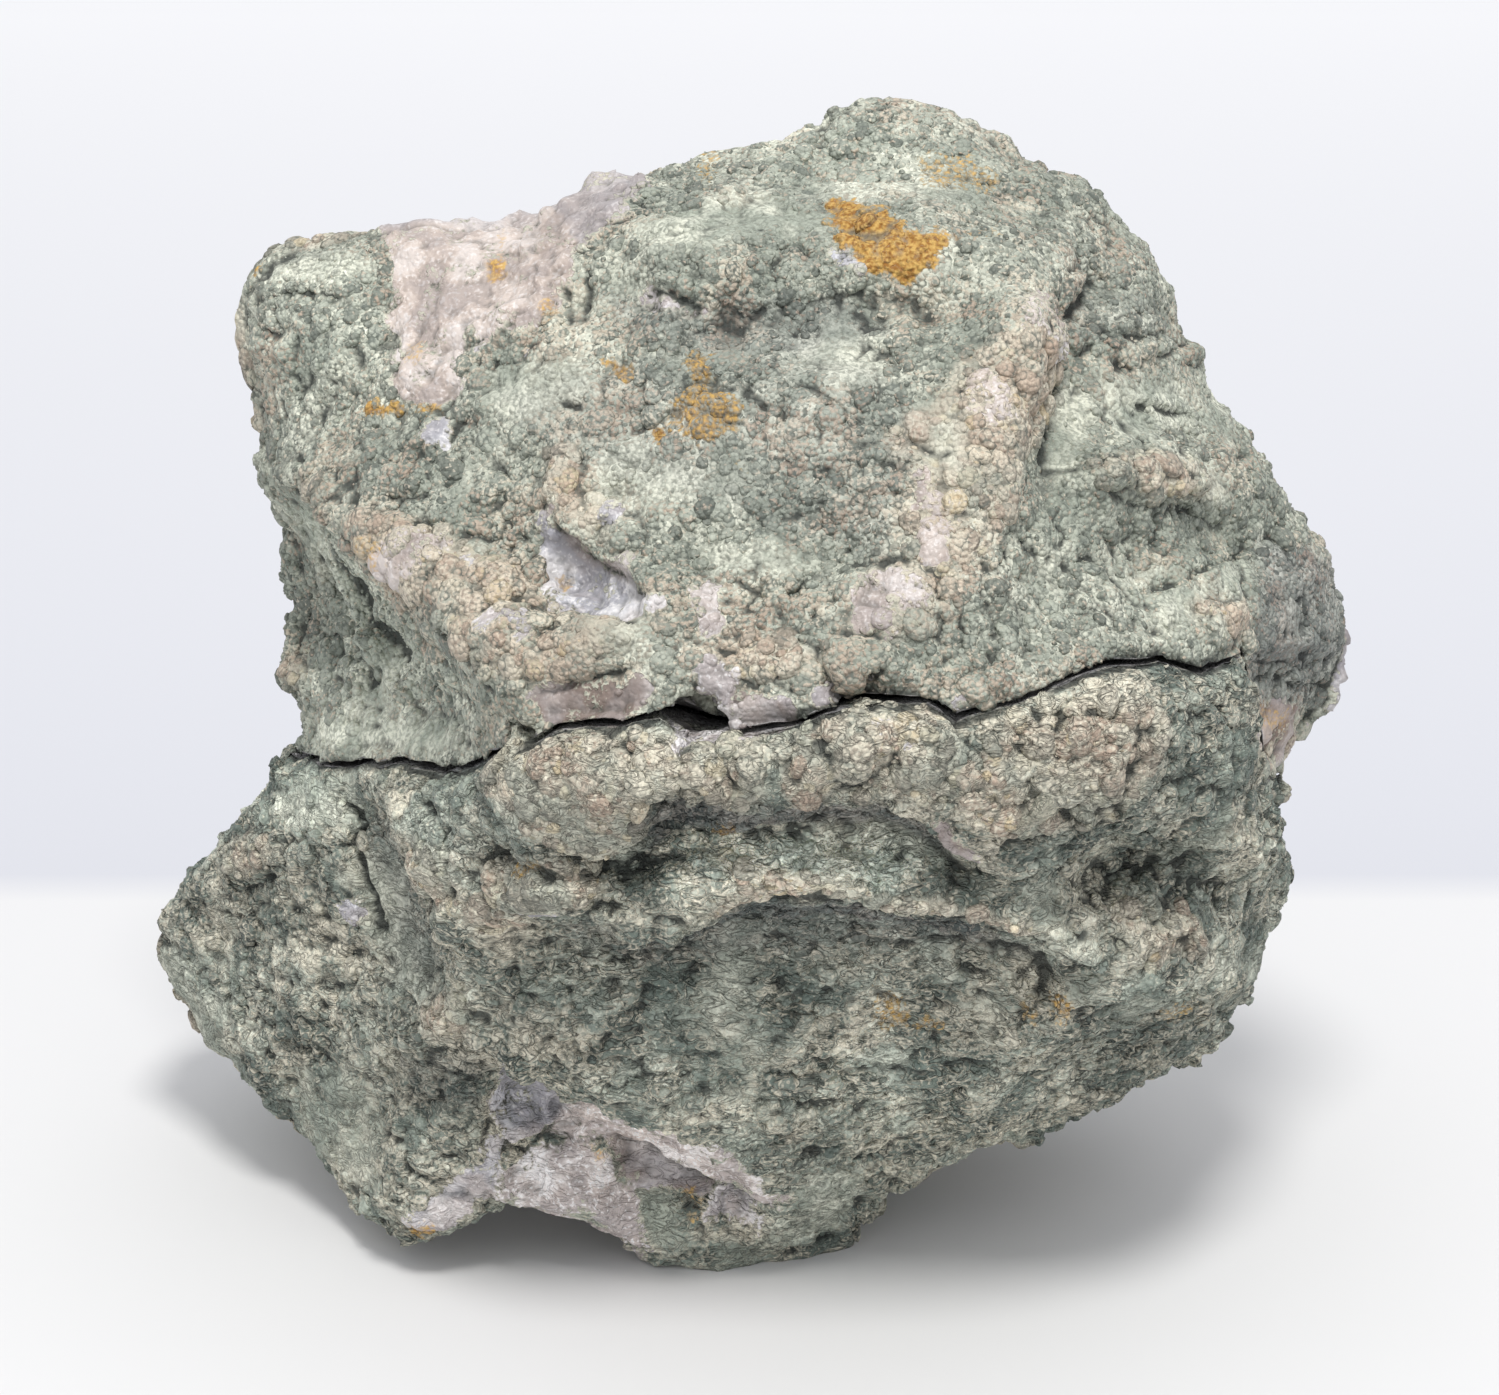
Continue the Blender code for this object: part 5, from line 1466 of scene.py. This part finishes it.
def rind_group():
    """Dust, dark grains, cream specks and nodules, the pale curls where the rind is crackled, and painted
    shade in their slits and in the gaps between grains.
    """
    nodes, given, made = new_group(
        "green rind", ["Fine", "Height", "Gap", "Number", "Crackle", "Ridge", "Slit"], ["Colour"]
    )
    fine, crackle = given["Fine"], given["Crackle"]
    tone, raised, veil = nodes.look("tone"), nodes.look("raised"), nodes.look("veil")
    nodular, mottle = nodes.look("nodular"), nodes.look("mottle")
    shade = nodes.blend(0.45, nodes.look("blotch"), mottle)
    ground = nodes.mix(nodes.spread(shade, 0.2, 0.8), GREEN_DUST, PALE_DUST)
    ground = nodes.mix(nodes.spread(fine, 0.44, 0.60, 0.0, 0.6), ground, GREEN_GRAIN)
    grain = nodes.mix(nodes.spread(tone, 0.0, 0.8), DARK_GRAIN, GREEN_DUST)
    packed = nodes.times(given["Height"], nodes.spread(given["Number"], 0.3, 0.7), 0.6)
    cover = nodes.blend(nodes.spread(raised, 0.0, 0.2), packed, 0.8)
    bare = nodes.less(nodes.times(nodes.look("dust"), 0.85))
    colour = nodes.mix(nodes.times(cover, bare), ground, grain)
    plain = nodes.times(nodes.less(nodes.times(nodular, 0.9)), bare, crackle)
    dark = nodes.times(plain, nodes.spread(shade, 0.7, 0.25, 0.0, 0.7))
    colour = nodes.mix(nodes.times(plain, nodes.spread(veil, 0.7, 0.3), 0.5), colour, TEAL_DUST)
    colour = nodes.mix(dark, colour, DARK_TEAL)
    pale = nodes.times(plain, nodes.look("cream"), nodes.spread(mottle, 0.3, 0.8), 0.5)
    colour = nodes.mix(pale, colour, CREAM)
    lively = nodes.times(plain, nodes.spread(veil, 0.2, 0.7, 0.1, 0.8))
    colour = nodes.mix(nodes.times(given["Ridge"], lively), colour, CREAM)
    # Painted shade in the slits.
    colour = nodes.mix(nodes.times(given["Slit"], lively), colour, PIT_AND_SLIT_SHADE)
    mixed = nodes.math("ADD", fine, nodes.times(tone, 0.4))
    nodule = nodes.mix(nodes.spread(mixed, 0.5, 0.9), PINK_BROWN, CREAM)
    nodule = nodes.mix(nodes.spread(tone, 0.8, 0.95, 0.0, 0.5), nodule, OCHRE_LIGHT)
    share = nodes.times(nodular, nodes.blend(raised, 0.5, 0.85), nodes.spread(veil, 0.2, 0.65, 0.25, 1.0))
    colour = nodes.mix(share, colour, nodule)
    near_cream = nodes.math("ADD", fine, nodes.times(nodes.look("cream"), 0.19))
    specks = nodes.times(nodes.spread(near_cream, 0.60, 0.72), bare, nodes.blend(crackle, 0.7, 0.45))
    speck = nodes.mix(nodes.math("MAXIMUM", mottle, crackle), PINK_BROWN, CREAM)
    colour = nodes.mix(specks, colour, speck)
    # Painted shade in the gaps between packed grains.
    gap_shade = nodes.times(given["Gap"], nodes.spread(given["Number"], 0.75, 0.35), bare)
    colour = nodes.mix(nodes.times(gap_shade, nodes.blend(crackle, 0.8, 0.5)), colour, DARK_GRAIN)
    nodes.feed(made["Colour"], colour)


def quartz_group():
    """Chalcedony from blue lilac to pinkish, with whiter, greyer and browner clouds."""
    nodes, given, made = new_group("cloudy quartz", ["Fine"], ["Colour"])
    fine, veil, white = given["Fine"], nodes.look("veil"), nodes.look("white")
    colour = nodes.mix(nodes.look("pink"), LILAC, PINK_QUARTZ)
    warm = nodes.times(nodes.look("cream"), nodes.spread(nodes.look("mottle"), 0.3, 0.8), 0.5)
    colour = nodes.mix(warm, colour, PINK_QUARTZ)
    clouds = nodes.blend(0.35, veil, fine)
    milky = nodes.times(nodes.spread(clouds, 0.38, 0.7), nodes.blend(white, 0.12, 1.0))
    colour = nodes.mix(milky, colour, WHITE_QUARTZ)
    # White crystal specks, partly painted glints.
    glints_and_specks = nodes.times(nodes.spread(fine, 0.56, 0.66), nodes.blend(white, 0.25, 0.9))
    colour = nodes.mix(glints_and_specks, colour, WHITE_QUARTZ)
    colour = nodes.mix(nodes.times(nodes.spread(clouds, 0.5, 0.25), 0.45), colour, GREY_QUARTZ)
    brown = nodes.times(nodes.look("brown"), nodes.spread(nodes.look("mottle"), 0.9, 0.2, 0.4, 1.0))
    nodes.feed(made["Colour"], nodes.mix(brown, colour, BROWN_QUARTZ))


def cover_group():
    """Where quartz shows through the rind, with a ragged edge, and the paler rim beside it."""
    nodes, given, made = new_group("ragged windows", ["Fine"], ["Window", "Rim"])
    quartz = nodes.look("quartz")
    ragged = nodes.sway(nodes.look("mottle"), 0.9)
    grainy = nodes.sway(given["Fine"], 1.4)
    total = nodes.math("ADD", quartz, nodes.math("ADD", ragged, grainy))
    total = nodes.times(total, nodes.spread(quartz, 0.0, 0.25))
    nodes.feed(made["Window"], nodes.spread(total, 0.38, 0.62))
    nodes.feed(made["Rim"], nodes.spread(total, 0.1, 0.35, 0.0, 0.4))


def rust_group():
    """Ochre stains that gather on what stands out."""
    nodes, given, made = new_group("ochre stains", ["Colour", "Fine"], ["Colour"])
    fine, ochre = given["Fine"], nodes.look("ochre")
    rust = nodes.mix(nodes.spread(fine, 0.35, 0.65), OCHRE_DARK, OCHRE_LIGHT)
    rusty = nodes.math("ADD", ochre, nodes.sway(fine, 1.3))
    standing_out = nodes.spread(rusty, 0.25, 0.75), nodes.spread(nodes.look("pit_shade"), 0.9, 0.5, 0.5, 1.0)
    rusty = nodes.times(*standing_out)
    rusty = nodes.times(rusty, nodes.spread(ochre, 0.0, 0.3))
    nodes.feed(made["Colour"], nodes.mix(rusty, given["Colour"], rust))


def painted_shade_group():
    """Painted shade in pits, painted shade and painted light over stretches as well as the rind's own
    paler and darker ones, bluer where darker, and the plain grey of the fracture.
    """
    nodes, given, made = new_group("painted shade and stretches", ["Colour", "Smooth"], ["Colour"])
    # Painted shade in pits, weaker on quartz and ochre.
    deep = nodes.spread(nodes.look("pit_shade"), 0.55, 0.95, 0.0, 0.9)
    colour = nodes.mix(nodes.times(deep, nodes.blend(given["Smooth"], 1.0, 0.5)), given["Colour"], PIT_AND_SLIT_SHADE)
    # Painted shade and painted light from the shade look, bluer where it is darker.
    level = nodes.spread(nodes.look("shade"), 0.0, 1.6, 0.4, 2.32)
    bluer_in_shade = nodes.times(level, nodes.spread(nodes.look("shade"), 0.15, 0.5, 1.1, 1.0))
    colour = nodes.mix(1.0, colour, nodes.mixed_colour(level, level, bluer_in_shade), "MULTIPLY")
    inner = nodes.mix(nodes.look("mottle"), BREAK_GREY, BREAK_PALE)
    nodes.feed(made["Colour"], nodes.mix(nodes.look("broken"), colour, inner))


def stone_material(name, crackled):
    """The rind of one half, with its windows of quartz."""
    material = bpy.data.materials.new(name)
    material.use_nodes = True
    nodes = Nodes(material.node_tree)
    shader = material.node_tree.nodes["Principled BSDF"]
    place = nodes.add("ShaderNodeTexCoord").outputs["Object"]
    grains = nodes.group("packed grains", Place=place, Size=GRAIN_SIZE)
    fine = nodes.noise(place, FINE_SCALE, detail=1.0)
    rind = {"Fine": fine, "Crackle": crackled}
    rind.update((label, grains[label]) for label in ("Height", "Gap", "Number"))
    height = nodes.times(grains["Height"], 0.6)
    if crackled:
        curls = nodes.group("crackled curls", Place=place, Size=CURL_SIZE)
        rind.update((label, curls[label]) for label in ("Ridge", "Slit"))
        curled = nodes.times(nodes.math("SUBTRACT", curls["Ridge"], curls["Slit"]), 0.5)
        height = nodes.math("ADD", height, curled)
    else:
        height = nodes.math("ADD", height, nodes.times(fine, 0.5))
    cover = nodes.group("ragged windows", Fine=fine)
    window = cover["Window"]
    colour = nodes.mix(cover["Rim"], nodes.group("green rind", **rind)["Colour"], CREAM)
    colour = nodes.mix(window, colour, nodes.group("cloudy quartz", Fine=fine)["Colour"])
    colour = nodes.group("ochre stains", Colour=colour, Fine=fine)["Colour"]
    smooth = nodes.math("MAXIMUM", window, nodes.look("ochre"))
    # Painted shade in pits and painted shade and light over stretches.
    colour = nodes.group("painted shade and stretches", Colour=colour, Smooth=smooth)["Colour"]
    nodes.feed(shader.inputs["Base Color"], colour)
    rough = nodes.math("SUBTRACT", 0.9, nodes.times(nodes.look("raised"), 0.3))
    nodes.feed(shader.inputs["Roughness"], nodes.blend(window, rough, 0.38))
    height = nodes.times(height, nodes.blend(window, 1.0, 0.4))
    bump = nodes.add("ShaderNodeBump", {"Height": height, "Strength": 1.0, "Distance": BUMP_DEPTH})
    nodes.feed(shader.inputs["Normal"], bump.outputs[0])
    return material


# The room.

def lilac_white_room():
    """Light from all round, stronger from above and behind than from the front."""
    world = bpy.data.worlds.new("room")
    bpy.context.scene.world = world
    world.use_nodes = True
    tree = world.node_tree
    nodes = Nodes(tree)
    light = tree.nodes["Background"]
    aim = nodes.add("ShaderNodeTexCoord").outputs["Generated"]
    parted = nodes.add("ShaderNodeSeparateXYZ", {"Vector": aim})
    above = nodes.spread(parted.outputs["Z"], 0.0, 1.0, 0.70, 0.95)
    behind = nodes.spread(parted.outputs["Y"], -1.0, 1.0, 0.95, 1.1)
    light.inputs["Color"].default_value = (0.95, 0.96, 1.0, 1.0)
    nodes.feed(light.inputs["Strength"], nodes.times(above, behind, 0.98))


def area_light(name, place, aim, size, power, colour):
    """A round lamp that shines at a point."""
    data = bpy.data.lights.new(name, "AREA")
    data.shape = "DISK"
    data.size = size
    data.energy = power
    data.color = colour
    lamp = bpy.data.objects.new(name, data)
    lamp.location = place
    lamp.rotation_euler = (Vector(aim) - Vector(place)).to_track_quat("-Z", "Y").to_euler()
    bpy.context.scene.collection.objects.link(lamp)


def pale_floor():
    """White paper that lies in front, and past its edge the pale wall that it turns up into, painted on
    the flat floor with painted shade at its foot and painted light higher up.
    """
    mesh = bpy.data.meshes.new("floor")
    far = FLOOR_REACH
    corners = [(-far, -far, 0.0), (far, -far, 0.0), (far, far, 0.0), (-far, far, 0.0)]
    mesh.from_pydata(corners, [], [(0, 1, 2, 3)])
    floor = bpy.data.objects.new("floor", mesh)
    bpy.context.scene.collection.objects.link(floor)
    material = bpy.data.materials.new("white paper")
    material.use_nodes = True
    tree = material.node_tree
    nodes = Nodes(tree)
    shader = tree.nodes["Principled BSDF"]
    place = nodes.add("ShaderNodeTexCoord").outputs["Object"]
    parted = nodes.add("ShaderNodeSeparateXYZ", {"Vector": place})
    beyond = nodes.spread(parted.outputs["Y"], FLOOR_END, FLOOR_END + FLOOR_EDGE)
    farther = nodes.spread(parted.outputs["Y"], FLOOR_END, FLOOR_END + FLOOR_FADE)
    # Painted shade at the wall's foot, turning to painted light farther off.
    wall = nodes.mix(farther, WALL_FOOT_SHADE, WALL_TOP_LIGHT)
    colour = nodes.mix(beyond, FLOOR_GREY, wall)
    nodes.feed(shader.inputs["Base Color"], colour)
    shader.inputs["Roughness"].default_value = 0.9
    mesh.materials.append(material)


def set_camera():
    """The camera that sees the stone as the picture does."""
    eye, forward = view_axes()[:2]
    data = bpy.data.cameras.new("view")
    data.sensor_width = SENSOR_WIDTH
    data.lens = SENSOR_WIDTH * PICTURE_SCALE / PICTURE_WIDTH
    data.clip_start, data.clip_end = CAMERA_REACH
    camera = bpy.data.objects.new("view", data)
    camera.location = eye * MM
    camera.rotation_euler = Vector(forward).to_track_quat("-Z", "Y").to_euler()
    bpy.context.scene.collection.objects.link(camera)
    bpy.context.scene.camera = camera


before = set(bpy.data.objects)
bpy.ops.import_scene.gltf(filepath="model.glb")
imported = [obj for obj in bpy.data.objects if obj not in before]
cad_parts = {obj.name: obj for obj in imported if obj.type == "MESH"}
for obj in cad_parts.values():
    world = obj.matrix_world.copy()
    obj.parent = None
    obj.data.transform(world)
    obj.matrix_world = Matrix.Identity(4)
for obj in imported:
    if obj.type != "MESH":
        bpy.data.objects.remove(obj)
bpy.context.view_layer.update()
for build in (grains_group, curls_group, rind_group, quartz_group, cover_group, rust_group, painted_shade_group):
    build()

# Each half and the other one, its slot, how crackled its rind is, which way its lip of the crack
# draws back, and the seed of its grains.
HALVES = [
    ("upper_half", "lower_half", "upper_rind", 0.0, 1.0, 11),
    ("lower_half", "upper_half", "lower_rind", 1.0, -1.0, 12),
]
for half, other, slot, crackled, lip, seed in HALVES:
    surface = stone_surface(half, tree_of(*node_mesh(other)), crackled, lip)
    material = stone_material(half.replace("_", " ") + " rind", crackled)
    stone = make_piece(
        half + "_stone", surface.places, surface.triangles, surface.looks, slot, replaced=half,
    )
    for piece in [stone] + grain_pieces(half, surface, slot, seed):
        piece.data.materials.append(material)

lilac_white_room()
area_light(
    "overhead", place=(0.03, -0.3, 0.64), aim=(0.0, 0.0, 0.04), size=0.18, power=2.9,
    colour=(1.0, 0.985, 0.96),
)
pale_floor()
set_camera()
bpy.context.scene.view_settings.view_transform = "Standard"
